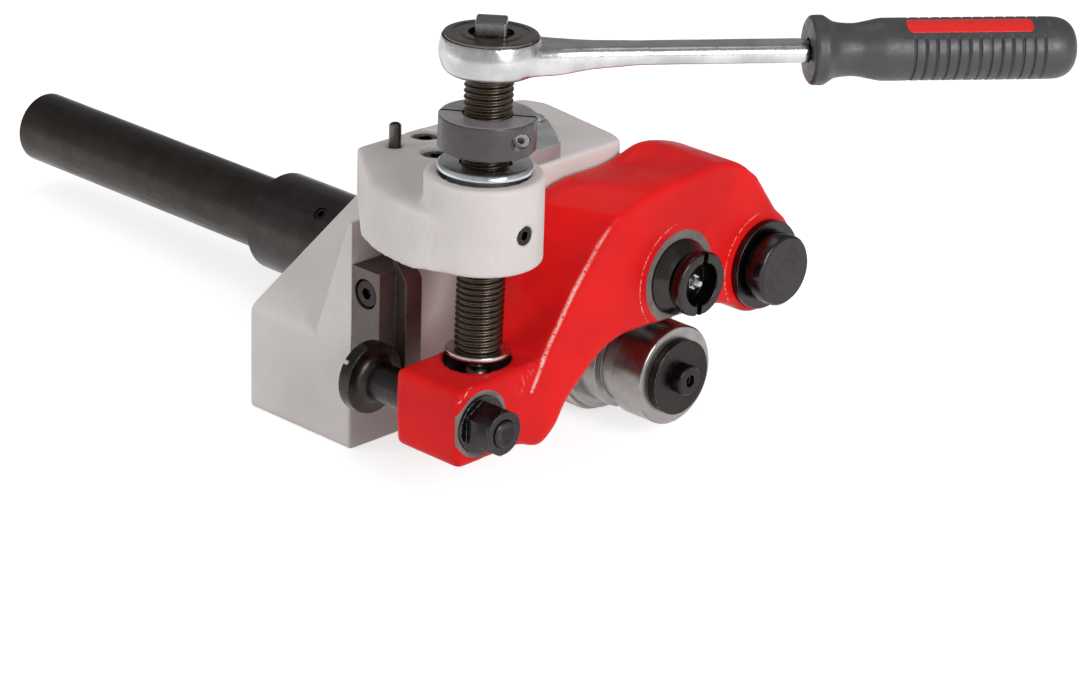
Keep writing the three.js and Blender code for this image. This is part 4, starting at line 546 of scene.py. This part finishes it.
# Fine surfaces: copies of the CAD solids with finer arcs, smooth shading and crisp edges
def split_chord(bm, edge, axis):
    """Cuts a chord of a circle about the axis into short ones and gives the new points"""
    point, direction = axis[:2]
    start, end = edge.verts
    height = (start.co - point).dot(direction)
    foot = point + direction * height
    a, b = start.co - foot, end.co - foot
    angle = a.angle(b)
    arc = math.radians(LARGE_ARC_DEGREES if a.length > SMALL_RADIUS else SMALL_ARC_DEGREES)
    steps = max(2, math.ceil(angle / arc - ROUNDING))
    side = direction.cross(a)
    turn = 1 if side.dot(b) > 0 else -1
    made = []
    rest, last = edge, start
    for k in range(1, steps):
        _, new = bmesh.utils.edge_split(rest, last, 1 / (steps - k + 1))
        new.co = foot + Matrix.Rotation(turn * angle * k / steps, 3, direction) @ a
        made.append(new)
        rest = next(e for e in new.link_edges if e.other_vert(new) is end)
        last = new
    return made


def corners(face):
    """How many of the face's points are real corners"""
    count = 0
    total = len(face.verts)
    for i, vert in enumerate(face.verts):
        before = face.verts[i - 1].co - vert.co
        after = face.verts[(i + 1) % total].co - vert.co
        if before.angle(-after, math.pi) > math.radians(TURN_DEGREES):
            count += 1
    return count


def finer_arcs(bm, axis):
    """Finer arcs about an axis, given as (point, direction) and, if it is limited, the largest radius"""
    point, direction, *limit = axis
    widest = limit[0] if limit else math.inf
    low, high = (math.radians(d) for d in CHORD_DEGREES)
    chords = []
    for edge in bm.edges:
        a, b = (v.co - point for v in edge.verts)
        ha, hb = a.dot(direction), b.dot(direction)
        a, b = a - direction * ha, b - direction * hb
        if abs(ha - hb) < SAME and abs(a.length - b.length) < SAME and OFF_AXIS < a.length < widest:
            if low < a.angle(b) < high:
                chords.append(edge)
    beside = dict.fromkeys(f for e in chords for f in e.link_faces)
    quads = [f for f in beside if abs(f.normal.dot(direction)) < END_FACE and corners(f) == QUAD]
    fresh = {vert for edge in chords for vert in split_chord(bm, edge, axis)}
    for face in quads:
        groups = {}
        for vert in [v for v in face.verts if v in fresh]:
            offset = vert.co - point
            out = (offset - direction * offset.dot(direction)).normalized()
            groups.setdefault(tuple(round(c, DIRECTION_DIGITS) for c in out), []).append(vert)
        for pair in groups.values():
            if len(pair) == 2:
                shared = set(pair[0].link_faces) & set(pair[1].link_faces)
                if shared and not any(e.other_vert(pair[0]) is pair[1] for e in pair[0].link_edges):
                    bmesh.utils.face_split(shared.pop(), *pair)


def fine_mesh(node, axes):
    """A copy of the node's solid as few large faces, with finer arcs about the axes"""
    bm = bmesh.new()
    bm.from_mesh(frame["nodes"][node].data)
    bmesh.ops.remove_doubles(bm, verts=bm.verts, dist=WELD)
    limit = math.radians(FLAT_DEGREES)
    bmesh.ops.dissolve_limit(bm, angle_limit=limit, verts=bm.verts, edges=bm.edges)
    for axis in axes:
        finer_arcs(bm, axis)
    bm.verts.index_update()
    mesh = new_mesh(node + "_fine", [v.co for v in bm.verts], [[v.index for v in f.verts] for f in bm.faces])
    bm.free()
    return mesh


def shade(mesh, degrees=SMOOTH_DEGREES):
    mesh.shade_smooth()
    mesh.set_sharp_from_angle(angle=math.radians(degrees))


def reworked(mesh, kind, **settings):
    """The mesh after one modifier"""
    holder = linked("holder", mesh)
    modifier = holder.modifiers.new("step", kind)
    for key, value in settings.items():
        setattr(modifier, key, value)
    graph = bpy.context.evaluated_depsgraph_get()
    made = bpy.data.meshes.new_from_object(holder.evaluated_get(graph))
    made.name = mesh.name
    bpy.data.objects.remove(holder)
    return made


def free_share(points, crisp):
    """How freely each point may be smoothed: 0 within a crisp zone, 1 away from all of them"""
    share = np.ones(len(points))
    for (place, direction), radius_mm, low_mm, high_mm in crisp:
        offset = points - np.array(place)
        along = offset @ np.array(direction)
        out = np.linalg.norm(offset - np.outer(along, direction), axis=1)
        beyond = np.maximum(np.maximum(out - radius_mm * MM, along - high_mm * MM), low_mm * MM - along)
        share = np.minimum(share, np.clip(beyond / CRISP_REACH, 0, 1))
    return share


def softened(mesh, grid_mm, rounds, crisp):
    """The same surface in an even grid, with the soft edges of a casting outside its machined places"""
    made = reworked(mesh, "REMESH", mode="VOXEL", voxel_size=grid_mm * MM)
    points = points_of(made)
    pairs = np.empty(len(made.edges) * 2, dtype=np.int64)
    made.edges.foreach_get("vertices", pairs)
    pairs = pairs.reshape(-1, 2)
    ends, others = np.concatenate([pairs, pairs[:, ::-1]]).T
    total = len(points)
    degree = np.bincount(ends, minlength=total)[:, None]
    share = free_share(points, crisp)[:, None]
    for turn in range(rounds):
        sums = np.stack([np.bincount(ends, points[others, k], total) for k in range(3)], axis=1)
        step = (sums / degree - points) / 2
        points = points + (step if turn < FIRST_ROUNDS else step * share)
    set_points(made, points)
    made.shade_smooth()
    return made


# The bracket's flank runs smoothly into the boss: between which angles about the boss, over how many degrees
# the wall's radius is averaged, and how far inside the wall (in mm) this ends. Then the cells of the wall's
# table, which holds its radius by height and angle, the least radius that moves and the average's reach in
# such spreads.
NECK = {"low": 120.0, "full_low": 140.0, "full_high": 206.0, "high": 224.0, "blur": 8.0, "reach": 8.0}
NECK_BIN_DEGREES, NECK_LEVEL_MM = 2.5, 1.2
NECK_LEAST_MM, NECK_SPREADS = 1, 3


def averaged_round(wall):
    """The table's rows averaged over the angle, with bell-shaped shares"""
    reach = round(NECK_SPREADS * NECK["blur"] / NECK_BIN_DEGREES)
    steps = np.arange(-reach, reach + 1)
    shares = np.exp(-0.5 * (steps * NECK_BIN_DEGREES / NECK["blur"]) ** 2)
    return sum(np.roll(wall, -k, axis=1) * share for k, share in zip(steps, shares)) / shares.sum()


def between(table, row, column):
    """The table's values at places between its cells; its columns run round"""
    i, j = np.floor(row).astype(int), np.floor(column).astype(int)
    s, t = row - i, column - j

    def at(down, right):
        return table[i + down, (j + right) % table.shape[1]]

    upper = at(0, 0) * (1 - t) + at(0, 1) * t
    lower = at(1, 0) * (1 - t) + at(1, 1) * t
    return upper * (1 - s) + lower * s


def neck_blended(mesh):
    """Moves the wall between boss and flank out or in to its radius averaged over the angle"""
    offset = (points_of(mesh) - np.array(BOSS[0])) / MM
    radius = np.hypot(offset[:, 0], offset[:, 1])
    turn = np.degrees(np.arctan2(offset[:, 1], offset[:, 0])) % 360 / NECK_BIN_DEGREES
    level = (offset[:, 2] - offset[:, 2].min()) / NECK_LEVEL_MM
    bins, levels = round(360 / NECK_BIN_DEGREES), int(level.max()) + 2
    wall = np.zeros((levels, bins))
    np.maximum.at(wall, (level.astype(int), turn.astype(int) % bins), radius)
    centre = (np.arange(bins) + 0.5) * NECK_BIN_DEGREES
    rise = np.clip((centre - NECK["low"]) / (NECK["full_low"] - NECK["low"]), 0, 1)
    fall = np.clip((NECK["high"] - centre) / (NECK["high"] - NECK["full_high"]), 0, 1)
    shift = (averaged_round(wall) - wall) * (rise * fall) * (wall > 0)
    place = (np.maximum(level - 0.5, 0), turn - 0.5)
    near_wall = np.clip((radius - between(wall, *place)) / NECK["reach"] + 1, 0, 1)
    moved = radius + between(shift, *place) * near_wall
    ratio = np.where(radius > NECK_LEAST_MM, moved / np.maximum(radius, NECK_LEAST_MM), 1)
    offset[:, :2] *= ratio[:, None]
    set_points(mesh, offset * MM + np.array(BOSS[0]))


def placed(name, mesh, node, even=False):
    """A piece that stands for a CAD node, on its body and in its slot; an even grid needs no weighting"""
    piece = linked(name, mesh)
    mesh.materials.append(own_finishes.get(node) or finishes[slots[node]])
    if not even:
        weighted = piece.modifiers.new("weighted", "WEIGHTED_NORMAL")
        weighted.keep_sharp = True
    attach(piece, bodies[node])
    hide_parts(node)
    return piece


def turned_about(mesh, axis, degrees):
    point, direction = axis
    there = Matrix.Translation(point)
    mesh.transform(there @ Matrix.Rotation(math.radians(degrees), 4, direction) @ there.inverted())


def mirrored(mesh, point, direction):
    there = Matrix.Translation(point)
    mesh.transform(there @ Matrix.Scale(-1, 4, direction) @ there.inverted())
    mesh.flip_normals()


# One counterbore leaves a wall of 0.3 mm to the bracket's rear face, which is too thin for the grid below
THIN_BORE = {"screw": "bracket_screw_1", "radius": 7.2 * MM, "near": 0.15 * MM, "kept": 0.905}


def narrowed(mesh, axis, bore):
    """Moves the points on the bore's wall in to the share of its radius that is kept"""
    point, direction = axis
    for vert in mesh.vertices:
        offset = vert.co - point
        out = offset - direction * offset.dot(direction)
        if abs(out.length - bore["radius"]) < bore["near"]:
            vert.co -= out * (1 - bore["kept"])


# Pieces with soft edges: their grid in mm, their rounds of smoothing and the zones that stay crisp, each an
# axis, a radius and the reach along the axis in mm. The first rounds smooth everywhere, to take the grid's
# steps away.
CRISP_REACH = 1.6 * MM
FIRST_ROUNDS = 3
FAR = 400
TRUNNION = (FEED[0], Y)
ARM_CRISP = [
    (ROLL, 21.2, -FAR, FAR), (GUIDE, 14, -FAR, FAR), (PIVOT, 15.5, -FAR, FAR), (LUG, 15, 0, FAR),
]
BRACKET_CRISP = [(BOSS, 26, 18.5, FAR), (BOSS, 26, -18, -13), (TRUNNION, 6, -FAR, FAR)]
BRACKET_CRISP += [((middle(node), Z), 8, -FAR, FAR) for node in slots if node.startswith("bracket_screw")]
SOFT = {
    "arm": (0.8, 16, ARM_CRISP),
    "ratchet_body": (0.45, 60, [(FEED, 19.7, 73, FAR)]),
    "screw_bracket": (0.8, 14, BRACKET_CRISP),
}


def dress(node, axes):
    """The piece that stands for a CAD node: a copy with finer arcs about the axes, changed where named here"""
    mesh = fine_mesh(node, axes)
    if node == "square_drive":
        turned_about(mesh, FEED, STUB_TURN_DEGREES)
        mesh.transform(Matrix.Translation(FEED_AXIS * -STUB_SINK))
    if node == "groove_roll_spindle":
        turned_about(mesh, ROLL, SPINDLE_TURN_DEGREES)
    if node.startswith(("clamp_collar", "collar_screw")):
        mirrored(mesh, FEED[0], COLLAR_ALONG)
    if node == "screw_bracket":
        narrowed(mesh, (middle(THIN_BORE["screw"]), Z), THIN_BORE)
    if node in SOFT:
        soft = softened(mesh, *SOFT[node])
        if node == "screw_bracket":
            neck_blended(soft)
        return placed(node + "_fine", soft, node, even=True)
    shade(mesh)
    return placed(node + "_fine", mesh, node)


# The axes that each piece's arcs turn on
SCREWS = {"bracket_screw": Z, "gauge_screw": Z, "guide_block_screw": X, "bearing_cover_screw": Y}
SCREW_AXES = {
    node: [(middle(node), direction)]
    for start, direction in SCREWS.items() for node in slots if node.startswith(start)
}
AXES = {
    "housing": [DRIVE, PIVOT],
    "screw_bracket": [BOSS] + [lines[0] for node, lines in SCREW_AXES.items() if node.startswith("bracket")],
    "roll_pin": [(middle("roll_pin"), Z)],
    "trunnion_screw_front": [TRUNNION],
    "trunnion_screw_rear": [TRUNNION],
    "arm": [PIVOT, ROLL, GUIDE],
    "swivel_seat": [LUG],
    "guide_bolt": [GUIDE],
    "guide_nut": [GUIDE],
    "guide_block": [SCREW_AXES["guide_block_screw_1"][0], SCREW_AXES["guide_block_screw_2"][0]],
    "ratchet_grip": [HANDLE],
    "ratchet_body": [FEED],
    **SCREW_AXES,
}
ROUND_ABOUT = (
    ([ROLL], ("groove_roll", "groove_roll_bush", "groove_roll_spindle", "grease_nipple",
              "spindle_circlip")),
    ([PIVOT], ("pivot_pin", "pivot_cap", "pivot_bush", "pivot_washer", "pivot_nut")),
    ([DRIVE], ("drive_shaft", "drive_roll", "drive_roll_washer", "drive_roll_screw", "front_bearing",
               "rear_bearing", "front_seal", "bearing_cover", "drive_coupling", "drive_bar")),
    ([FEED], ("rocking_nut", "thrust_washer", "ratchet_cover")),
    ([FEED, *COLLAR_LINES], ("clamp_collar_rear", "clamp_collar_front",
                             "collar_screw_rear", "collar_screw_front")),
)
for axes, nodes in ROUND_ABOUT:
    AXES.update({node: axes for node in nodes})


# Surfaces turned about a line, as closed grids of rows (along, radius)
def lathe(name, axis, start, rows, sides, radius_at=None):
    """Grid about the axis from the start direction. The first and the last row close it on the axis, and
    radius_at may change a row's radius with the turn."""
    point, direction = axis
    side = (start - direction * start.dot(direction)).normalized()
    across = direction.cross(side)
    points = []
    for along, radius in rows[1:-1]:
        for i in range(sides):
            turn = math.tau * i / sides
            r = radius_at(along, radius, turn) if radius_at else radius
            points.append(point + direction * along + (side * math.cos(turn) + across * math.sin(turn)) * r)
    first, last = len(points), len(points) + 1
    points += [point + direction * rows[0][0], point + direction * rows[-1][0]]
    faces = []
    end = (len(rows) - 3) * sides
    for i in range(sides):
        j = (i + 1) % sides
        faces += [(first, j, i), (end + i, end + j, last)]
        for k in range(len(rows) - 3):
            a, b = k * sides, (k + 1) * sides
            faces.append((a + i, a + j, b + j, b + i))
    return new_mesh(name, points, faces)


# Feed screw with its thread: a fine grid round the axis whose radius follows the helix. Heights are from the
# middle of the rocking nut, and the crest and the root are shares of the pitch. Below the thread come a short
# foot, the neck and the ball.
THREAD = {
    "radius": 10 * MM, "pitch": 2.5 * MM, "depth": 1.25 * MM, "bottom": -54.2 * MM, "top": 61.8 * MM,
    "runout": 1.6 * MM,
}
FOOT = {"radius": 6 * MM, "height": 0.6 * MM}
BALL = {"neck": 3 * MM, "radius": 6.25 * MM, "centre": -67 * MM}
THREAD_SIDES, THREAD_ROWS_PER_PITCH, BALL_ROWS = 72, 12, 14
THREAD_CREST, THREAD_ROOT = 0.16, 0.2


def screw_radius(height, radius, turn):
    """A row's own radius or, where it has none, that of the thread with its crests, roots and run-outs"""
    if radius is not None:
        return radius
    phase = (height / THREAD["pitch"] - turn / math.tau) % 1
    fall = abs(phase - 0.5) * 2
    dip = min(max((fall - THREAD_CREST) / (1 - THREAD_CREST - THREAD_ROOT), 0), 1)
    near_end = min(height - THREAD["bottom"], THREAD["top"] - height) / THREAD["runout"]
    return THREAD["radius"] - THREAD["depth"] * max(dip, 1 - near_end, 0)


def screw_rows():
    """Rows of the screw from the ball's lowest point to the top, as (height, radius or None for the thread)"""
    rows = [(BALL["centre"] - BALL["radius"], 0)]
    top_angle = math.acos(BALL["neck"] / BALL["radius"])
    for k in range(1, BALL_ROWS + 1):
        angle = -math.pi / 2 + (math.pi / 2 + top_angle) * k / BALL_ROWS
        rows.append((BALL["centre"] + BALL["radius"] * math.sin(angle), BALL["radius"] * math.cos(angle)))
    below = THREAD["bottom"] - FOOT["height"]
    rows += [(below, BALL["neck"]), (below, FOOT["radius"]), (THREAD["bottom"], FOOT["radius"])]
    count = round((THREAD["top"] - THREAD["bottom"]) / THREAD["pitch"] * THREAD_ROWS_PER_PITCH)
    step = (THREAD["top"] - THREAD["bottom"]) / count
    rows += [(THREAD["bottom"] + step * k, None) for k in range(count + 1)]
    return rows + [(THREAD["top"], 0)]


def feed_screw():
    mesh = lathe("feed_screw_threaded", FEED, X, screw_rows(), THREAD_SIDES, screw_radius)
    shade(mesh, THREAD_SMOOTH_DEGREES)
    return placed(mesh.name, mesh, "feed_screw")


# Grip: its outline in mm as (along the handle from the feed line, radius), its rib grooves and the panel that
# the inset lies in. The panel's turn from straight up, half its width and its edge are in degrees, and the rest
# is in mm. Only what is well wider than the bore is grooved.
BARREL_MM = 12.75
GRIP_OUTLINE_MM = (
    (129.6, 12.6), (130.6, 13.9), (132.0, 14.15), (135.2, 14.1), (136.8, 13.2), (139.5, 11.6), (144.0, 10.85),
    (149.0, 10.8), (154.0, 11.7), (159.0, 12.65), (164.0, BARREL_MM), (170.0, BARREL_MM), (228.0, BARREL_MM),
    (233.0, 12.5), (236.2, 11.55), (238.6, 9.75), (240.2, 7.1), (240.85, 3.8),
)
GRIP_STEP, GRIP_SIDES = 0.4 * MM, 144
GRIP_CROWN = 0.1 * MM
GRIP_BORE = {"radius": 5.05 * MM, "end": 217.8 * MM}
GROOVED_SHARE = 1.5
RIBS = {"first": 171.0, "last": 225.2, "count": 12, "depth": 0.75, "floor": 0.15, "half": 0.7}
PANEL = {"turn": 22.0, "half": 31.0, "edge": 3.0, "drop": 0.35, "low": 165.0, "high": 229.0, "ramp": 2.0}
PANEL_UP = Matrix.Rotation(math.radians(PANEL["turn"]), 3, HANDLE_AXIS) @ FEED_AXIS

# Inset, in mm: its ends, half its width, its corners, how far it stands out and goes in, and its rolled edge,
# which begins at a share of half the width
INSET = {"low": 168.4, "high": 221.2, "half": 4.3, "corner": 2.4, "lift": 0.25, "sink": 0.5, "roll": 0.12}
ROLLED_SHARE = 0.9
INSET_STEP = 0.4 * MM


def smooth_step(value, low, high):
    t = min(max((value - low) / (high - low), 0), 1)
    return t * t * (3 - 2 * t)


def grip_radius(along):
    """Outline radius at a place along the handle, rounded over by a smooth curve between its points"""
    at = along / MM
    last = len(GRIP_OUTLINE_MM) - 1
    k = next((i for i in range(last) if at <= GRIP_OUTLINE_MM[i + 1][0]), last - 1)
    (x0, r0), (x1, r1) = GRIP_OUTLINE_MM[k], GRIP_OUTLINE_MM[k + 1]
    before, after = GRIP_OUTLINE_MM[max(k - 1, 0)], GRIP_OUTLINE_MM[min(k + 2, last)]
    m0 = (r1 - before[1]) / max(x1 - before[0], ROUNDING) * (x1 - x0)
    m1 = (after[1] - r0) / max(after[0] - x0, ROUNDING) * (x1 - x0)
    t = min(max((at - x0) / (x1 - x0), 0), 1)
    a, b = 2 * t**3 - 3 * t**2 + 1, t**3 - 2 * t**2 + t
    return (a * r0 + b * m0 + (1 - a) * r1 + (t**3 - t**2) * m1) * MM


def grip_surface(along, radius, turn):
    """Radius with rib grooves beside the panel and a shallow flat under the inset"""
    at = along / MM
    away = math.degrees(abs((turn + math.pi) % math.tau - math.pi))
    beside = smooth_step(away, PANEL["half"] - PANEL["edge"], PANEL["half"])
    pitch = (RIBS["last"] - RIBS["first"]) / RIBS["count"]
    place = (at - RIBS["first"]) / pitch
    nearest = min(max(round(place), 0), RIBS["count"])
    groove = 1 - smooth_step(abs(place - nearest) * pitch, RIBS["floor"], RIBS["half"])
    begun = smooth_step(at, PANEL["low"], PANEL["low"] + PANEL["ramp"])
    ended = smooth_step(at, PANEL["high"] - PANEL["ramp"], PANEL["high"])
    drop = RIBS["depth"] * groove * beside + PANEL["drop"] * begun * (1 - ended) * (1 - beside)
    return radius - drop * MM if radius > GRIP_BORE["radius"] * GROOVED_SHARE else radius


def ratchet_grip():
    """The grip's outside and its blind bore for the shank"""
    start, end = GRIP_OUTLINE_MM[0][0] * MM, GRIP_OUTLINE_MM[-1][0] * MM
    bore = GRIP_BORE["radius"]
    rows = [(GRIP_BORE["end"], 0), (GRIP_BORE["end"], bore), (start, bore)]
    count = round((end - start) / GRIP_STEP)
    places = [start + (end - start) * k / count for k in range(count + 1)]
    rows += [(along, grip_radius(along)) for along in places] + [(end + GRIP_CROWN, 0)]
    mesh = lathe("ratchet_grip_fine", HANDLE, PANEL_UP, rows, GRIP_SIDES, grip_surface)
    shade(mesh, TURNED_SMOOTH_DEGREES)
    return placed("ratchet_grip_fine", mesh, "ratchet_grip")


def grip_inset():
    """A thin curved plate with rounded corners on the grip's panel"""
    side = HANDLE_AXIS.cross(PANEL_UP)
    low, high, half, corner = (INSET[key] * MM for key in ("low", "high", "half", "corner"))
    columns, rows = round((high - low) / INSET_STEP), round(2 * half / INSET_STEP)
    radius = (BARREL_MM - PANEL["drop"] + INSET["lift"]) * MM
    points, faces = [], []
    for depth in (0.0, INSET["sink"] * MM):
        for i in range(columns + 1):
            x = low + (high - low) * i / columns
            short = max(corner - min(x - low, high - x), 0)
            width = half - corner + math.sqrt(max(corner**2 - short**2, 0))
            for j in range(rows + 1):
                across = 2 * j / rows - 1
                angle = across * width / radius
                r = radius - depth - INSET["roll"] * MM * smooth_step(abs(across), ROLLED_SHARE, 1)
                out = PANEL_UP * math.cos(angle) + side * math.sin(angle)
                points.append(HANDLE[0] + HANDLE_AXIS * x + out * r)
    layer, line = (columns + 1) * (rows + 1), rows + 1
    for i in range(columns):
        for j in range(rows):
            a = i * line + j
            top = (a, a + line, a + line + 1, a + 1)
            faces += [top, tuple(v + layer for v in reversed(top))]
    border = [i * line for i in range(columns + 1)] + [columns * line + j for j in range(1, rows + 1)]
    border += [i * line + rows for i in range(columns - 1, -1, -1)] + [j for j in range(rows - 1, 0, -1)]
    for a, b in zip(border, border[1:] + border[:1]):
        faces.append((b, a, a + layer, b + layer))
    mesh = new_mesh("grip_inset_fine", points, faces)
    mesh.validate()
    shade(mesh, TURNED_SMOOTH_DEGREES)
    return placed("grip_inset_fine", mesh, "grip_inset")


# Guide bolt as (along, radius) in mm from the back of its disc, with one thin slot across that face. Its free
# end has a small countersink.
BOLT_ROWS_MM = (
    (-80.6, 0), (-82.9, 3.7), (-82.9, 5.1), (-82.2, 5.8), (-31.4, 5.8), (-31.4, 8.0), (-10.0, 8.0), (-8.4, 8.3),
    (-7.0, 9.2), (-6.2, 10.6), (-6.0, 12.0), (-6.0, 14.9), (-5.6, 15.25), (-0.4, 15.25), (0, 14.9), (0, 0),
)
BOLT_SLOT = {"degrees": 142, "width": 1.8 * MM, "depth": 2.6 * MM, "half": 20 * MM}
BOLT_SIDES = 96


def guide_bolt():
    rows = [(along * MM, radius * MM) for along, radius in BOLT_ROWS_MM]
    back = Vector((GUIDE[0].x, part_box("guide_bolt")[1].y, GUIDE[0].z))
    mesh = lathe("guide_bolt_fine", (back, Y), X, rows, BOLT_SIDES)
    size = (2 * BOLT_SLOT["half"], 2 * BOLT_SLOT["depth"], BOLT_SLOT["width"])
    turn = Matrix.Rotation(-math.radians(BOLT_SLOT["degrees"]), 4, "Y")
    bm = bmesh.new()
    bmesh.ops.create_cube(bm, size=1, matrix=Matrix.Translation(back) @ turn @ Matrix.Diagonal((*size, 1)))
    cutter_mesh = bpy.data.meshes.new("slot_cutter")
    bm.to_mesh(cutter_mesh)
    bm.free()
    cutter = linked("slot_cutter", cutter_mesh)
    made = reworked(mesh, "BOOLEAN", operation="DIFFERENCE", solver="EXACT", object=cutter)
    bpy.data.objects.remove(cutter)
    shade(made, TURNED_SMOOTH_DEGREES)
    return placed("guide_bolt_fine", made, "guide_bolt")


def camera():
    data = bpy.data.cameras.new("camera")
    data.lens = CAMERA_LENS
    data.sensor_width = SENSOR
    data.sensor_fit = "HORIZONTAL"
    made = linked("camera", data)
    turn = Matrix((CAMERA_RIGHT, CAMERA_UP, CAMERA_BACK)).transposed().to_4x4()
    made.matrix_world = Matrix.Translation(CAMERA_PLACE) @ turn
    bpy.context.scene.camera = made


# Lamps: how far each stands to the right of, above and in front of its target, as the camera sees it
TARGET = Vector((0.0, -0.03, 0.08))
RIGHT, UP, BACK = Vector(CAMERA_RIGHT), Vector(CAMERA_UP), Vector(CAMERA_BACK)
LAMPS = {
    "key": {"from": (0.9, 0.1, 1.5), "size": 0.9, "power": 18.5, "glossy": True},
    "left": {"from": (-1.6, 0.3, 0.3), "size": 0.8, "power": 9, "glossy": False},
    "top": {"from": (0.0, 1.5, 0.1), "size": 0.9, "power": 2, "glossy": True},
}


def lamps():
    for name, lamp in LAMPS.items():
        data = bpy.data.lights.new(name, "AREA")
        data.shape = "DISK"
        data.size = lamp["size"]
        data.energy = lamp["power"]
        made = linked(name, data)
        right, up, back = lamp["from"]
        made.location = TARGET + RIGHT * right + UP * up + BACK * back
        made.visible_glossy = lamp["glossy"]
        made.rotation_euler = (TARGET - made.location).to_track_quat("-Z", "Y").to_euler()


# The room that polished faces show: light at the front, darker toward the far side and above. The camera sees
# plain white, and matt faces get an even fill.
ROOM_FAR = Vector((0.72, 0.69, 0.0))
ROOM_LIGHT, ROOM_ABOVE, ROOM_DARK = 0.62, 0.42, 0.5
ROOM_TURN, ROOM_RISE = (-0.1, 0.6), (0.0, 0.85)
WHITE = colour(1, 1, 1)
FILL, FILL_TONE = 0.42, colour(0.98, 0.98, 1)


def world():
    made = bpy.data.worlds.new("studio")
    bpy.context.scene.world = made
    made.use_nodes = True
    tree = made.node_tree
    tree.nodes.clear()
    path = add(tree, "LightPath").outputs
    seen = maths(tree, "MAXIMUM", path["Is Camera Ray"], path["Is Transmission Ray"])
    toward = add(tree, "TexCoord").outputs["Generated"]
    height = add(tree, "SeparateXYZ", {0: toward}).outputs["Z"]
    far_side = ranged(tree, vectors(tree, "DOT_PRODUCT", toward, ROOM_FAR), ROOM_TURN, (1.0, ROOM_DARK))
    room = product(tree, far_side, ranged(tree, height, ROOM_RISE, (ROOM_LIGHT, ROOM_ABOVE)))
    glossy = product(tree, path["Is Glossy Ray"], room)
    white = add(tree, "Background", {"Color": WHITE, "Strength": maths(tree, "MAXIMUM", seen, glossy)})
    fill = add(tree, "Background", {"Color": FILL_TONE, "Strength": FILL})
    shown = maths(tree, "MAXIMUM", seen, path["Is Glossy Ray"])
    mix = add(tree, "MixShader", {0: shown, 1: fill.outputs[0], 2: white.outputs[0]})
    out = add(tree, "OutputWorld")
    tree.links.new(mix.outputs[0], out.inputs["Surface"])


# Floor: a plain pale sheet that keeps the object's shadow and, where it is seen, glows up to white
FLOOR_HALF, FLOOR_DROP = 4.0, 0.2 * MM
FLOOR_GLOW, FLOOR_TONE = 0.68, colour(0.66, 0.66, 0.665)


def floor():
    ways = ((-1, -1), (1, -1), (1, 1), (-1, 1))
    mesh = new_mesh("floor", [(x * FLOOR_HALF, y * FLOOR_HALF, -FLOOR_DROP) for x, y in ways], [(0, 1, 2, 3)])
    made = linked("floor", mesh)
    look = bpy.data.materials.new("floor_white")
    look.use_nodes = True
    tree = look.node_tree
    tree.nodes.clear()
    matt = add(tree, "BsdfDiffuse", {"Color": FLOOR_TONE})
    path = add(tree, "LightPath").outputs
    seen = most(tree, [path["Is Camera Ray"], path["Is Glossy Ray"], path["Is Transmission Ray"]])
    glow = add(tree, "Emission", {"Color": WHITE, "Strength": product(tree, seen, FLOOR_GLOW)})
    both = add(tree, "AddShader", {0: matt.outputs[0], 1: glow.outputs[0]})
    out = add(tree, "OutputMaterial")
    tree.links.new(both.outputs[0], out.inputs["Surface"])
    mesh.materials.append(look)


camera()
lamps()
world()
floor()
own_shapes = {
    "feed_screw": feed_screw,
    "ratchet_grip": ratchet_grip,
    "grip_inset": grip_inset,
    "guide_bolt": guide_bolt,
}
for node in slots:
    if node in own_shapes:
        own_shapes[node]()
    else:
        dress(node, AXES.get(node, []))

bpy.context.scene.view_settings.view_transform = "Standard"
